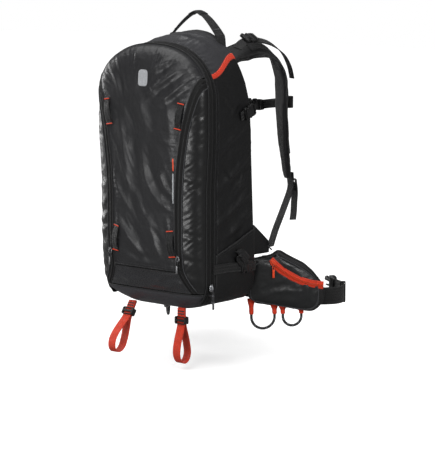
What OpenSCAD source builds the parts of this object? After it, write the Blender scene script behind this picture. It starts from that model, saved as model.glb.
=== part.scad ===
// Avalanche airbag backpack: panel-loading bag with an opening front, a gas inflation
// system behind it, shoulder straps with a pull handle, and a hip belt with pockets.
// Frame: +Z up, front of the bag towards -Y, wearer's side towards +Y,
// origin at the centre of the flat base. Left is -X. Millimetres.

/* [Bag] */
// Height of the bag at the back of its top
bag_h = 575; // [565:1:585]
// Height of the top of the front arch
front_top = 551; // [545:1:556]
// Half width of the bag at the main zip
bag_hw = 136; // [134:1:138]
// How far the front bulges past the main zip
bulge = 50; // [44:1:52]
// Thickness of the shell fabric with its lining
skin = 2.4; // [2:0.2:3]
// Y of the main zip
zip_y = -55; // [-57:1:-53]
// Height of the seam that the tool pocket hinges on
seam_z = 88; // [86:1:90]

/* [Webbing] */
// Width of the ice axe loop webbing
axe_w = 20; // [15:1:22]
// Width of the hip belt webbing
belt_w = 38; // [30:1:40]
// Width of the strap adjuster webbing
adj_w = 25; // [20:1:25]
// Width of the sternum strap webbing
sternum_w = 20; // [15:1:22]
// Thickness of all webbing
web_t = 2; // [1.5:0.1:2.2]

/* [Shoulder straps] */
// Width of a shoulder strap
strap_w = 58; // [50:1:60]
// Thickness of a shoulder strap
strap_t = 11; // [8:1:12]

/* [Inflation] */
// Radius of the gas cylinder
cyl_r = 27; // [25:0.5:28]
// Height of the gas cylinder's body
cyl_h = 165; // [150:1:170]
// Radius of the cylinder's neck
neck_r = 9; // [8:0.5:9.5]
// Radius of the piercing pin
pin_r = 3; // [2.5:0.1:3.2]

/* [Hidden] */
back_y = 90;
corner_h = 90; // height of the rounded bottom corners
corner_power = 3.4;
edge_r = 16; // rounding of the back edge
front_arch_z = 440; // where the arch starts, at the zip and at the back
back_arch_z = 388;
front_arch_power = 2.25;
back_arch_power = 1.9;
arch_spread = 6; // extra half width at the start of the front arch
crown_z = 330; // the front starts to turn back to the zip here
crown_power = 4;
hinge_z = 38; // top of the base's front lip
lip_y = -32; // where the base starts to turn up
right_drop = 45; // the right slider rests lower on its zip than the left one
bore_gap = 0.06; // clearance around the neck and the pin

// ---- numbers and lists ----
function clamp(t) = min(1, max(0, t));
function smooth(x, a, b) = let (t = clamp((x - a) / (b - a))) t * t * (3 - 2 * t);
function lerp(a, b, t) = a + (b - a) * t;
function steps(a, b, n) = [for (i = [0:n]) lerp(a, b, i / n)];
function power(v, e) = pow(max(0, v), e);
// Height at t of a superellipse quadrant of radius 1.
function arc(t, n) = power(1 - pow(t, n), 1 / n);
function unit(v) = v / norm(v);
function flatten(grid) = [for (row = grid) for (p = row) p];
// A list followed by its negatives in reverse, with its last entry used once.
function there_and_back(list) = concat(list, [for (i = [len(list) - 2:-1:0]) -list[i]]);
function reversed(list) = [for (i = [len(list) - 1:-1:0]) list[i]];

// ---- solids from points ----
function quad(a, b, c, d) = [[a, b, c], [a, c, d]];
// Six times the signed volume inside the faces.
function volume6(points, faces) = let (parts = [for (f = faces) for (i = [1:len(f) - 2])
    points[f[0]] * cross(points[f[i]], points[f[i + 1]])])
  parts * [for (p = parts) 1];

// A polyhedron whose faces always turn the right way out.
module solid(points, faces)
  polyhedron(points = points,
    faces = volume6(points, faces) > 0 ? [for (f = faces) reversed(f)] : faces);

// A closed sheet between two grids of points with the same size.
module sheet(outer, inner) {
  cols = len(outer[0]);
  last_row = len(outer) - 1;
  last_col = cols - 1;
  a = function(i, j) i * cols + j; // point of the outer grid
  b = function(i, j) len(outer) * cols + i * cols + j; // point of the inner grid
  rows_i = [0:last_row - 1];
  cols_j = [0:last_col - 1];
  solid(concat(flatten(outer), flatten(inner)), [
    for (i = rows_i) for (j = cols_j) each quad(a(i, j), a(i, j + 1), a(i + 1, j + 1), a(i + 1, j)),
    for (i = rows_i) for (j = cols_j) each quad(b(i, j), b(i + 1, j), b(i + 1, j + 1), b(i, j + 1)),
    for (i = rows_i) each quad(a(i, 0), a(i + 1, 0), b(i + 1, 0), b(i, 0)),
    for (i = rows_i)
      each quad(a(i + 1, last_col), a(i, last_col), b(i, last_col), b(i + 1, last_col)),
    for (j = cols_j) each quad(a(0, j + 1), a(0, j), b(0, j), b(0, j + 1)),
    for (j = cols_j)
      each quad(a(last_row, j), a(last_row, j + 1), b(last_row, j + 1), b(last_row, j))]);
}

// A solid lofted through rings of k points each, closed by flat ends.
module loft(rings) {
  n = len(rings);
  k = len(rings[0]);
  solid(flatten(rings), [
    [for (j = [k - 1:-1:0]) j],
    [for (j = [0:k - 1]) (n - 1) * k + j],
    for (i = [0:n - 2]) for (j = [0:k - 1]) let (next = (j + 1) % k)
      each quad(i * k + j, i * k + next, (i + 1) * k + next, (i + 1) * k + j)]);
}

function tangent(path, i) = unit(path[min(i + 1, len(path) - 1)] - path[max(i - 1, 0)]);

// Webbing w wide and t thick through stations of [centre, width direction, own width if any].
module ribbon(stations, w, t) {
  path = [for (s = stations) s[0]];
  loft([for (i = [0:len(path) - 1])
    let (along = tangent(path, i),
      given = stations[i][1],
      across = unit(given - along * (given * along)),
      normal = cross(along, across),
      half_w = across * (len(stations[i]) > 2 ? stations[i][2] : w) / 2,
      half_t = normal * t / 2)
    [for (s = [[-1, -1], [1, -1], [1, 1], [-1, 1]]) path[i] + half_w * s[0] + half_t * s[1]]]);
}

// A Catmull-Rom curve through points, n steps between each pair.
function spline(points, n) = let (last = len(points) - 1) concat(
  [for (i = [0:last - 1]) for (k = [0:n - 1])
    let (t = k / n, a = points[max(0, i - 1)], b = points[i], c = points[i + 1],
      d = points[min(last, i + 2)])
    0.5 * (2 * b + (c - a) * t + (2 * a - 5 * b + 4 * c - d) * t * t
      + (3 * b - a - 3 * c + d) * t * t * t)],
  [points[last]]);

// A round cord of radius r along a path, with k sides.
module cord(path, r, k)
  loft([for (i = [0:len(path) - 1])
    let (along = tangent(path, i), u = unit(cross(along, [1, 0.05, 0.03])), v = cross(along, u))
    [for (j = [0:k - 1]) path[i] + r * (u * cos(360 * j / k) + v * sin(360 * j / k))]]);

// ---- shared shapes ----
// Parts are drawn on the right, +X, and mirrored for the left.
module side(left) {
  if (left) mirror([1, 0, 0]) children();
  else children();
}
module both_sides() for (left = [true, false]) side(left) children();

module rounded_rect(w, h, r) { // centred
  square([w - 2 * r, h], center = true);
  square([w, h - 2 * r], center = true);
  for (x = [-1, 1]) for (y = [-1, 1])
    translate([x * (w / 2 - r), y * (h / 2 - r)]) circle(r = r, $fn = 32);
}

// A plate from y to y + t, drawn in x and z.
module plate(y, t) translate([0, y + t, 0]) rotate([90, 0, 0]) linear_extrude(t) children();

// A polygon from its right half, bottom to top; points on the middle aren't repeated.
module symmetric(half)
  polygon(concat(half, [for (p = reversed(half)) if (p[0] > 0.5) [-p[0], p[1]]]));

// A zip slider that moves along z and stands out towards -y, with an eye for its pull.
module slider_body(w, l) {
  rotate([90, 0, 0]) linear_extrude(2.2) rounded_rect(w, l, 1.5);
  translate([-1.6, -5.4, -l * 0.3]) difference() {
    cube([3.2, 5.4, l * 0.6]);
    translate([-1, 1.1, l * 0.12]) cube([5.2, 2, l * 0.36]);
  }
}

// ---- the bag's outer shape ----
// 0 at the main zip, 1 at the back.
function back_share(y) = clamp((y - zip_y) / (back_y - zip_y));
function half_width(y, z) = lerp(bag_hw + arch_spread * smooth(z, 240, 380),
  bag_hw + 13 - 13 * clamp((z - 100) / 340), back_share(y));
function arch_z(y) = lerp(front_arch_z, back_arch_z, back_share(y));
function top_z(y) = lerp(front_top, bag_h, smooth(y, zip_y - 20, back_y - 20));
function arch_power(y) = lerp(front_arch_power, back_arch_power, back_share(y));
// How far the rounded back edge draws the outline in.
function edge_in(y) = y < back_y - edge_r ? 0
  : edge_r - sqrt(max(0, edge_r * edge_r - pow(y - back_y + edge_r, 2)));

function corner_point(y, q, d) = let (a = 90 * (1 - q),
    x = (half_width(y, corner_h) - d) * power(cos(a), 2 / corner_power),
    z = corner_h - (corner_h - d) * power(sin(a), 2 / corner_power))
  [x, y, d + max(0, z - d - 2 * (1 - q))];
function wall_point(y, q, d) = let (z = lerp(corner_h, arch_z(y), q - 1))
  [half_width(y, z) - d, y, z];
function arch_point(y, q, d) = let (a = 90 * (q - 2), e = 2 / arch_power(y), start = arch_z(y))
  [(half_width(y, start) - d) * power(cos(a), e), y,
    start + (top_z(y) - d - start) * power(sin(a), e)];
// A point of the right outline at y, moved inwards by inset:
// q is 0 at the bottom centre, 1 at the corner's top, 2 at the arch's start, 3 at the top centre.
function outline(y, q, inset = 0) = let (d = inset + edge_in(y))
  q < 1 ? corner_point(y, q, d) : q < 2 ? wall_point(y, q, d) : arch_point(y, q, d);
// The same with a negative q for the left side.
function shell_point(y, q, inset) = let (p = outline(y, abs(q), inset))
  [(q < 0 ? -1 : 1) * p[0], p[1], p[2]];

// Half width of the front at height z.
function front_x(z) =
  z >= front_arch_z ? (bag_hw + arch_spread)
    * arc((z - front_arch_z) / (front_top - front_arch_z), front_arch_power)
  : z >= corner_h ? half_width(zip_y, z)
  : half_width(zip_y, corner_h) * arc((corner_h - z) / corner_h, corner_power);
// How far the middle of the front stands in front of the zip.
function front_depth(z) = bulge * (z > crown_z
  ? arc((z - crown_z) / (front_top - crown_z), crown_power)
  : 1 - 0.42 * pow(clamp((150 - z) / 112), 2));
function front_y(x, z) = zip_y - front_depth(z) * arc(min(1, abs(x) / max(1, front_x(z))), 3.6);
// Half width of the tool pocket's opening, which flares above z 200 and below z 100.
function tool_x(z) = 91
  + (z > 200 ? 41 * pow((z - 200) / 270, 2.3) : z > 100 ? 0 : 25 * pow((100 - z) / 55, 1.6));

// ---- opening front ----
// Rows of the crown, closer together as the front turns back to the zip.
crown_rows = [466, 481, 496, 510,
  for (t = [0.8, 0.73, 0.65, 0.57, 0.49, 0.41, 0.32, 0.23, 0.14])
    crown_z + (front_top - crown_z) * arc(t, crown_power)];

// Front fabric on rows zs, from x_from to x_to of each row in n columns.
module front_sheet(zs, x_from, x_to, n) {
  outer = [for (i = [0:len(zs) - 1])
    [for (x = steps(x_from[i], x_to[i], n)) [x, front_y(x, zs[i]), zs[i]]]];
  sheet(outer, [for (row = outer) [for (p = row)
    [p[0] * (1 - skin * 0.9 / max(20, front_x(p[2]))), min(zip_y - 1.2, p[1] + skin), p[2]]]]);
}
module front_panel() color("dimgray") {
  zs = concat(steps(seam_z + 2, 452, 7), crown_rows);
  edge = [for (z = zs) z > 462 ? front_x(z) - 3 : tool_x(z) - 5];
  front_sheet(zs, -edge, edge, 14);
}
module lower_front_panel() color("dimgray") {
  zs = [hinge_z + 6, 56, 72, seam_z - 1];
  edge = [for (z = zs) min(tool_x(z) - 5, front_x(z) - 6)];
  front_sheet(zs, -edge, edge, 12);
}
module gusset(left) color("#26262a") side(left) {
  zs = concat([48], steps(66, 449, 8));
  front_sheet(zs, [for (z = zs) tool_x(z) + 5], [for (z = zs) front_x(z) - 1.2], 5);
}
module pocket_divider() color("#303034") plate(zip_y - 2.8, 1.4)
  symmetric([for (z = concat([52, 60, 72], steps(88, 440, 6), [462, 484, 504, 520, 532, 540]))
    [front_x(z) - 8, z]]);
module tool_zips() color("#151516") both_sides() {
  zs = concat([50], steps(62, 449, 11));
  tape = function(d) [for (z = zs)
    [for (x = [-3.4, 3.4]) [tool_x(z) + x + d * 0.1, front_y(tool_x(z), z) + d, z]]];
  sheet(tape(-1.2), tape(1.6));
}
module tool_slider(left) color("#202022") side(left) {
  slider_z = 118;
  x = tool_x(slider_z);
  translate([x, front_y(x, 170) - 1.8, slider_z]) {
    slider_body(6.4, 13);
    translate([-1.1, -4.9, -4]) difference() { // pull
      translate([-2.4, -0.4, -30]) cube([7, 1.6, 33]);
      translate([-0.9, -2, -0.5]) cube([4, 6, 2.6]);
    }
  }
}
// Upper and lower tabs: [x, z] of both ends.
tool_tab_ends = [[[99, 439], [90, 382]], [[70, 176], [77, 118]]];
module tool_tabs() color("#111113") both_sides() for (ends = tool_tab_ends)
  ribbon([for (t = steps(0, 1, 4)) let (p = lerp(ends[0], ends[1], t))
    [[p[0], front_y(p[0], p[1]) - 2.4 - 4 * sin(180 * t), p[1]], [1, 0.12, 0]]], 16, 1.8);

// ---- fixed shell ----
shell_ys = [zip_y + 4.8, -30, 0, 30, 58, back_y - edge_r, back_y - 6, back_y - 1.4];
// Outline position of the tape between the side panel and the hood.
function tape_q(y) = lerp(2.24, 2.5, smooth(y, zip_y, back_y));

module side_panel(left) color("#1c1d1f") side(left) {
  qs = function(y) concat(steps(0.52, 1, 3), [1.33, 1.66], steps(2, tape_q(y) - 0.012, 4));
  grid = function(inset) [for (y = shell_ys) [for (q = qs(y)) shell_point(y, q, inset)]];
  sheet(grid(skin), grid(0));
}
module hood_panel() color("#3a3a3d") {
  qs = function(y) there_and_back(steps(tape_q(y) + 0.055, 3, 6));
  grid = function(inset) [for (y = shell_ys) [for (q = qs(y)) shell_point(y, q, inset)]];
  sheet(grid(skin), grid(0));
}
module hood_tapes() color("#e2401c") both_sides() {
  grid = function(inset) [for (y = steps(zip_y + 8, back_y - 6, 7))
    [for (dq = [-0.004, 0.022, 0.047]) shell_point(y, tape_q(y) + dq, inset)]];
  sheet(grid(1.6), grid(-0.8));
}
module base_panel() color("#4a4a4e") {
  qs = steps(-0.5, 0.5, 10);
  lip_z = hinge_z + 1.5;
  // Front lip, turning up from a = 0 on the base to a = 90 at the hinge.
  lip = function(q, a, inset) let (
      p = shell_point(lip_y, q, inset),
      end_x = p[0] * 1.04,
      end_y = front_y(end_x, hinge_z + 2) + inset)
    [lerp(p[0], end_x, a / 90),
      lip_y + (end_y - lip_y) * power(sin(a), 1.25),
      lip_z - (lip_z - p[2]) * power(cos(a), 1.25)];
  grid = function(inset) concat(
    [for (a = [90, 66, 44, 22]) [for (q = qs) lip(q, a, inset)]],
    [for (y = [lip_y, -10, 15, 45, back_y - 18]) [for (q = qs) shell_point(y, q, inset)]]);
  sheet(grid(2), grid(2 + skin));
  translate([-60, lip_y + 2, 0]) cube([120, 96, 1.8]); // flat foot
}
// Right half of a raised back pad: [x, z].
back_pad = [[22, 132], [88, 124], [102, 200], [104, 300], [92, 400], [76, 470], [60, 478], [26, 470]];
module back_panel() color("#17181a") difference() {
  union() {
    plate(back_y - 1, 3) symmetric([
      for (q = concat(steps(0, 1, 6), [1.3, 1.6, 1.85], steps(2, 3, 9)))
        let (p = outline(back_y - edge_r, q, 12)) if (p[2] >= 0 && p[2] <= 600) [p[0], p[2]]]);
    for (s = [-1, 1]) plate(back_y + 1.9, 15) polygon([for (p = back_pad) [s * p[0], p[1]]]);
    plate(back_y + 1.9, 9) polygon([[-12, 484], [12, 484], [10, 520], [-10, 520]]);
  }
  // hole for the trigger cable
  translate([cable_x, back_y - 5, cable_hole_z]) rotate([-90, 0, 0])
    cylinder(h = 20, r = 5.2, $fn = 32);
}
module lumbar_pad() color("#202124") difference() {
  plate(back_y + 2.5, 22)
    polygon([[-82, 6], [82, 6], [84, 60], [74, 108], [-74, 108], [-84, 60]]);
  plate(back_y + 16, 12) polygon([[-16, -2], [16, -2], [16, 112], [-16, 112]]);
}
frame_z = 275; // middle of the frame's height
module frame_sheet() color("#0f0f10")
  plate(back_y - 6, 1.6) translate([0, frame_z]) rounded_rect(196, 430, 26);
module frame_stays() color("#b9bcc0") for (s = [-1, 1])
  plate(back_y - 10.2, 3.4) translate([s * 62, frame_z]) rounded_rect(14, 410, 5);

// ---- main zip and haul loop ----
main_pull_l = 42;
slider_point = outline(zip_y, 1.02);
function slider_drop(left) = left ? 0 : right_drop;

module main_zip() color("#141415") {
  qs = there_and_back(concat(steps(0.72, 1, 2), [1.25, 1.5, 1.75], steps(2, 3, 11)));
  grid = function(inset) [for (q = qs) [for (y = [zip_y - 3.9, zip_y + 4])
    let (p = shell_point(max(y, zip_y), q, inset)) [p[0], y, p[2]]]];
  sheet(grid(0.6), grid(-1.6));
}
module main_slider(left) color("#c9cbce") side(left)
  translate([slider_point[0] + 2.2, zip_y, slider_point[2] + 4 - slider_drop(left)])
    rotate([0, 0, 90]) slider_body(9, 14);
module main_pull(left) color("#1a1a1b") side(left)
  translate([slider_point[0] + 8.1, zip_y - 3.5, slider_point[2] - main_pull_l - slider_drop(left)])
    cube([2.4, 7, main_pull_l]);
module haul_loop() color("#18181a")
  ribbon([for (a = steps(-90, 90, 12))
    [[64 * sin(a), 72 + 6 * cos(a), 564 + 49 * power(cos(a), 0.8)], [0.5 * sin(a), 1, 0]]],
    22, 2.4);

// ---- shoulder straps ----
// From the back panel over the shoulder and down: [centre, width direction, own width if any].
strap_stations = [
  [[42, 100.5, 502], [0.98, 0, -0.2], 52], [[50, 120, 517], [0.85, -0.1, -0.5], 54],
  [[60, 150, 526], [0.7, -0.2, -0.68]], [[70, 184, 532], [0.68, -0.24, -0.66]],
  [[81, 213, 525], [0.75, -0.3, -0.5]], [[90, 234, 503], [0.86, -0.36, -0.3]],
  [[95, 244, 472], [0.91, -0.39, -0.12]], [[97, 246, 440], [0.92, -0.39, 0]],
  [[98, 246, 380], [0.92, -0.39, 0], 54], [[100, 249, 327], [0.92, -0.39, 0], 48],
  [[104, 255, 272], [0.92, -0.39, 0], 38], [[106, 259, 246], [0.92, -0.39, 0], 31]];
// From the strap's lower end back to the bag: centres.
adjuster_path = [[105.5, 266.8, 262], [106.5, 267.2, 242], [108, 262, 222], [116, 226, 184],
  [124, 188, 146], [129.5, 162, 113]];
// Fabric tab that meets the adjuster: [top edge, bottom edge].
adjuster_tab = [[[137, 93.5, 168], [137, 93.5, 106]], [[134, 125, 148], [134, 125, 103]],
  [[130.4, 155, 124], [130.4, 155, 102]]];
// From the bag's top to the strap: [centre, width direction].
lifter_stations = [
  [[93, 93, 538], [0.9, 0.1, -0.4]], [[86, 118, 547], [0.84, 0.05, -0.5]],
  [[80, 150, 552], [0.8, 0, -0.55]], [[82, 184, 550], [0.78, -0.1, -0.55]],
  [[91, 214, 541], [0.8, -0.25, -0.5]], [[102, 240, 521], [0.86, -0.34, -0.3]],
  [[109, 255, 494], [0.9, -0.38, -0.1]], [[112, 262, 466], [0.92, -0.39, 0]]];

module shoulder_strap(left) color("#1b1c1e") side(left) ribbon(strap_stations, strap_w, strap_t);
module adjuster_webbing() color("#161617") both_sides() {
  ribbon([for (p = adjuster_path) [p, [0.92, -0.35, 0.1]]], adj_w, web_t);
  half_t = [1.2, 0, 0];
  loft([for (p = adjuster_tab) [p[1] - half_t, p[1] + half_t, p[0] + half_t, p[0] - half_t]]);
}
module ladder_locks() color("#0e0e0f") both_sides()
  translate([107, 274, 236]) rotate([8, 0, -21]) rotate([90, 0, 0]) translate([0, 0, -1.5])
    linear_extrude(3) difference() {
      rounded_rect(adj_w + 9, 25, 3);
      for (z = [-7.5, 7.5]) translate([0, z]) square([adj_w + 1, 3.4], center = true);
    }
module load_lifters() color("#161617") both_sides() ribbon(lifter_stations, 20, web_t);
// Tilts a lifter buckle about y to lie along its webbing, and places it.
lifter_place = [[0.83, 0, 0.556, 81.3], [0, 1, 0, 150], [-0.556, 0, 0.83, 554.3], [0, 0, 0, 1]];
module lifter_buckles() color("#0e0e0f") both_sides() multmatrix(lifter_place) {
  translate([-14, -22, 0]) cube([28, 20, 6]);
  for (x = [-12, -2.5, 7]) translate([x, -3, 1]) cube([5, 9, 4]);
  translate([-14, 5, 0]) cube([28, 19, 6]);
}

// ---- compression straps ----
// Station on the bag's side, standing further out near the back.
function side_station(y, z, q, across) =
  [[outline(y, q, -1.8)[0] + (y > 80 ? 1.5 : 0), y, z], across];
module compression_straps() color("#161617") both_sides() {
  ribbon([for (y = [52, 64, 75, 86])
    side_station(y, 404 + (y - 52) * 0.32, 1.93, [0, -0.3, 1])], 20, web_t);
  ribbon([for (y = [-46, -20, 10, 40, 64, 75, 84])
    side_station(y, 92 - 0.08 * max(0, y), 1, [0, 0.1, 1])], 20, web_t);
}
// Upper and lower buckle: [place, tilt about x].
compression_places = [[[143.2, 73, 411], 17], [[151.6, 52, 88], -4]];
module compression_buckles() color("#0e0e0f") both_sides() for (p = compression_places)
  translate(p[0]) rotate([p[1], 0, 0]) {
    translate([-0.4, -16, -14]) cube([6, 12, 28]);
    for (z = [-11, 7]) translate([0.6, -5, z]) cube([4, 12, 4]);
    translate([-0.4, 6, -14]) cube([6, 14, 28]);
  }

// ---- sternum strap: the clip's own webbing overlaps the end of the right half ----
module sternum_webbing(xs, y)
  ribbon([for (x = xs) [[x, y, 402 + 0.14 * (x - 8)], [0, 0, 1]]], sternum_w, web_t);
module sternum_strap(left) color("#161617") side(left) {
  sternum_webbing([left ? 18.5 : 58.5, 66, 77, 87], left ? 267.4 : 264.9);
  translate([89, 256.8, 401.5]) difference() { // mount on the shoulder strap
    cube([22, 12.6, 26]);
    translate([-1, 6.6, 1.2]) cube([20, 4.8, 23.6]);
  }
}
module sternum_socket() color("#0e0e0f") mirror([1, 0, 0]) translate([-12, 263, 390.5])
  difference() {
    cube([28, 9, 26]);
    translate([-1, 2, 3]) cube([22, 5, 20]);
    translate([10, 3, -1]) cube([8, 3, 28]);
  }
module sternum_clip() color("#0e0e0f") {
  for (prong = [[394, 4], [406.4, 4], [400.4, 3.6]]) // [z, height]
    translate([-6, 266, prong[0]]) cube([19, 3, prong[1]]);
  translate([12.9, 263, 391.5]) cube([18.1, 9, 24]);
  sternum_webbing([31.2, 40, 52, 62], 268.2);
}

// ---- hip belt: local x along the wing, y across its thickness ----
belt_origin = [125, 100, 0];
// Outlines of the wing and of its pocket: [x, z].
wing_points = [[1, 0], [20, -8], [60, -16], [112, -24], [134, -26], [148, -20], [158, -8],
  [162, 12], [160, 30], [150, 46], [136, 62], [118, 78], [89, 92], [60, 108], [52, 97],
  [10, 88], [1, 84]];
pocket_points = [[-4, 2], [20, -6], [60, -14], [112, -22], [132, -22], [146, -12], [150, 4],
  [150, 26], [142, 48], [118, 70], [89, 87], [60, 102], [52, 95], [10, 84], [-4, 76]];
// The pocket's zip is an arc about this centre, its angles turning from +x to +z.
pocket_zip_centre = [176.6, 0, 215.5];
pocket_zip_r = 184;
pocket_zip_middle = 243;
pocket_slider_angle = 225.5;
// From the wing to the buckle: [x, y], at the height belt_web_z.
belt_web_path = [[150, 43], [172, 42.5], [190, 46], [205, 57], [214, 74], [217, 94], [215, 116],
  [208, 138]];
belt_web_z = 3;
front_gear_x = [72, 112]; // ends of each gear loop
rear_gear_x = [4, 54];

module belt(left) side(left) translate(belt_origin) rotate([0, 0, 45]) children();
module belt_wing(left) color("#1a1b1d") belt(left) plate(27, 12) polygon(wing_points);
// A w wide strip along the pocket's zip, from y back by t.
module pocket_arc(y, sweep, w, t)
  translate(pocket_zip_centre) rotate([90, 0, 0]) translate([0, 0, -y])
    rotate([0, 0, pocket_zip_middle - sweep / 2])
      rotate_extrude(angle = sweep, $fn = 96) translate([pocket_zip_r - w / 2, 0]) square([w, t]);
module belt_pocket(left) belt(left) {
  color("#1e1f22") difference() {
    plate(3, 23.4) polygon(pocket_points);
    pocket_arc(y = 6.2, sweep = 42, w = 12, t = 6);
  }
  color("#e2401c") pocket_arc(y = 5.6, sweep = 40, w = 11, t = 3);
}
module belt_slider(left) color("#e2401c") belt(left)
  translate(pocket_zip_centre) rotate([0, 270 - pocket_slider_angle, 0])
    translate([0, 2.3, -pocket_zip_r]) rotate([0, 90, 0]) {
      slider_body(9, 13);
      rotate([0, -135, 0]) translate([-1.8, -6.6, -24]) cube([3.6, 1.1, 24]); // pull
    }
module gear_loop(left, ends) color("#2a2a2c") belt(left) {
  cord_r = 3;
  leg = 8;
  bend_r = (ends[1] - ends[0]) / 2;
  bend_z = -27 - leg;
  translate([ends[0] + bend_r, 20, bend_z]) rotate([90, 0, 0]) rotate([0, 0, 180])
    rotate_extrude(angle = 180, $fn = 64) translate([bend_r, 0]) circle(r = cord_r, $fn = 32);
  for (x = ends) translate([x, 20, bend_z]) {
    cylinder(h = leg, r = cord_r, $fn = 32);
    translate([0, 0, leg]) sphere(r = cord_r, $fn = 32);
  }
}
module belt_webbing(left) color("#161617") belt(left)
  ribbon([for (p = belt_web_path) [[p[0], p[1], belt_web_z], [0, 0, 1]]], belt_w, web_t);
// Buckle frame at the webbing's end, with x pointing on towards the other half.
module belt_end(left) belt(left)
  translate([206.5, 142.5, belt_web_z]) rotate([0, 0, 107.5]) children();
module belt_web_slot() translate([-1, -3, -20]) cube([12, 6, 40]);
module belt_socket() color("#0e0e0f") belt_end(true) difference() {
  translate([0, -7, -25]) cube([44, 14, 50]);
  translate([15, -4.4, -19]) cube([40, 8.8, 38]);
  belt_web_slot();
}
module belt_clip() color("#0e0e0f") belt_end(false) {
  difference() {
    translate([0, -6, -25]) cube([18, 12, 50]);
    belt_web_slot();
  }
  for (z = [-17, 11]) translate([17.9, -3, z]) cube([26, 6, 6]); // outer prongs
  translate([17.9, -2, -3]) cube([22, 4, 6]); // middle prong
}

// ---- ice axe loops: hang from the front lower edge, the left one swung forwards ----
axe_anchor = [66, -60, 7];
left_axe_swing = -33;
// Down one side of the loop and up the other: [y, z] from the anchor.
axe_path = [[-1.6, 0], [-2.6, -10], [-4, -24], [-7, -40], [-12, -62], [-16, -84], [-16, -100],
  [-9, -113], [2, -117], [12, -111], [17, -98], [15, -80], [10, -58], [5, -36], [2.6, -14],
  [1.6, 0]];
module axe_at(left)
  side(left) translate(axe_anchor) rotate([left ? left_axe_swing : 0, 0, 0]) children();
module axe_loop(left) color("#e2401c") axe_at(left)
  ribbon([for (p = axe_path) [[0, p[0], p[1]], [1, 0, 0]]], axe_w, web_t * 0.8);
module axe_buckle(left) color("#101012") axe_at(left) translate([0, -1, -26]) difference() {
  translate([-axe_w / 2 - 4, -8.2, -8]) cube([axe_w + 8, 17, 16]);
  translate([-axe_w / 2 - 1, -6.8, -9]) cube([axe_w + 2, 14.2, 18]);
}

// ---- inflation system ----
cyl_at = [-62, 34, 62]; // centre of the cylinder's bottom
head_at = cyl_at + [0, 0, cyl_h + 9];
cable_x = cyl_at[0] - 2; // where the cable runs up the bag and out through the back
cable_hole_z = 526;
cable_path = [
  [cyl_at[0], cyl_at[1], head_at[2] + 76], [cyl_at[0] - 1, 48, head_at[2] + 104],
  [cyl_at[0] - 1, 50, 440], [cable_x, 56, 486], [cable_x, 66, 516],
  [cable_x, 80, cable_hole_z], [cable_x, 94, cable_hole_z], [cable_x, 116, 530],
  [-65, 140, 540], [-69, 164, 546], [-71, 180, 546]];
// Half section of the cylinder: [radius, z].
cyl_profile = [[0, 0], [18, 0], [24, 3], [cyl_r, 10], [cyl_r, cyl_h - 18], [24, cyl_h - 8],
  [16, cyl_h - 1], [11, cyl_h + 2], [11, cyl_h + 6], [neck_r, cyl_h + 6.5],
  [neck_r, cyl_h + 20], [0, cyl_h + 20]];

module gas_cylinder() color("#b7babd")
  translate(cyl_at) rotate_extrude($fn = 64) polygon(cyl_profile);
module inflator_head() color("#5b5e62") translate(head_at) difference() {
  union() {
    cylinder(h = 46, r = 20, $fn = 64);
    translate([0, 0, 30]) rotate([0, 90, 0]) cylinder(h = 52, r = 13, $fn = 48);
    translate([0, 0, 46]) cylinder(h = 10, r = 12, $fn = 48);
  }
  // bores for the neck and the pin, then the one in the side arm
  translate([0, 0, -1]) cylinder(h = 15, r = neck_r + bore_gap, $fn = 64);
  translate([0, 0, 14]) cylinder(h = 50, r = pin_r + bore_gap, $fn = 48);
  translate([26, 0, 30]) rotate([0, 90, 0]) cylinder(h = 30, r = 9, $fn = 48);
}
module piercing_pin() color("#d8dadc") translate(head_at) {
  translate([0, 0, 18.5]) cylinder(h = 46, r = pin_r, $fn = 48);
  translate([0, 0, 64]) cylinder(h = 4, r = 7, $fn = 48);
}
module trigger_cable() color("#202022") cord(spline(cable_path, 3), 2.5, 8);
module trigger_handle() color("#e2401c") translate([-98, 266.5, 328]) rotate([0, 0, 23]) {
  translate([-7, -5, 0]) cube([14, 10, 42]);
  hull() for (x = [-19, 19])
    translate([x, 0, -8]) rotate([90, 0, 0]) translate([0, 0, -7]) cylinder(h = 14, r = 8, $fn = 32);
}
module airbag_bladder() color("#e8552a") plate(-16, 56) difference() {
  union() {
    translate([0, 440]) circle(r = 94, $fn = 72);
    translate([-94, 372]) square([188, 68]);
  }
  union() {
    translate([0, 436]) circle(r = 50, $fn = 60);
    translate([-50, 300]) square([100, 136]);
  }
}

front_panel();
lower_front_panel();
gusset(true);  // gusset_left
gusset(false);  // gusset_right
pocket_divider();
tool_zips();
tool_slider(true);  // tool_slider_left
tool_slider(false);  // tool_slider_right
tool_tabs();
side_panel(true);  // side_panel_left
side_panel(false);  // side_panel_right
hood_panel();
hood_tapes();
base_panel();
back_panel();
lumbar_pad();
frame_sheet();
frame_stays();
main_zip();
main_slider(true);  // main_slider_left
main_slider(false);  // main_slider_right
main_pull(true);  // main_pull_left
main_pull(false);  // main_pull_right
haul_loop();
shoulder_strap(true);  // shoulder_strap_left
shoulder_strap(false);  // shoulder_strap_right
adjuster_webbing();
ladder_locks();
load_lifters();
lifter_buckles();
compression_straps();
compression_buckles();
sternum_strap(true);  // sternum_strap_left
sternum_strap(false);  // sternum_strap_right
sternum_socket();
sternum_clip();
belt_wing(true);  // belt_wing_left
belt_wing(false);  // belt_wing_right
belt_pocket(true);  // belt_pocket_left
belt_pocket(false);  // belt_pocket_right
belt_slider(true);  // belt_slider_left
belt_slider(false);  // belt_slider_right
gear_loop(true, front_gear_x);  // gear_loop_front_left
gear_loop(false, front_gear_x);  // gear_loop_front_right
gear_loop(true, rear_gear_x);  // gear_loop_rear_left
gear_loop(false, rear_gear_x);  // gear_loop_rear_right
belt_webbing(true);  // belt_webbing_left
belt_webbing(false);  // belt_webbing_right
belt_socket();
belt_clip();
axe_loop(true);  // axe_loop_left
axe_loop(false);  // axe_loop_right
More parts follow.
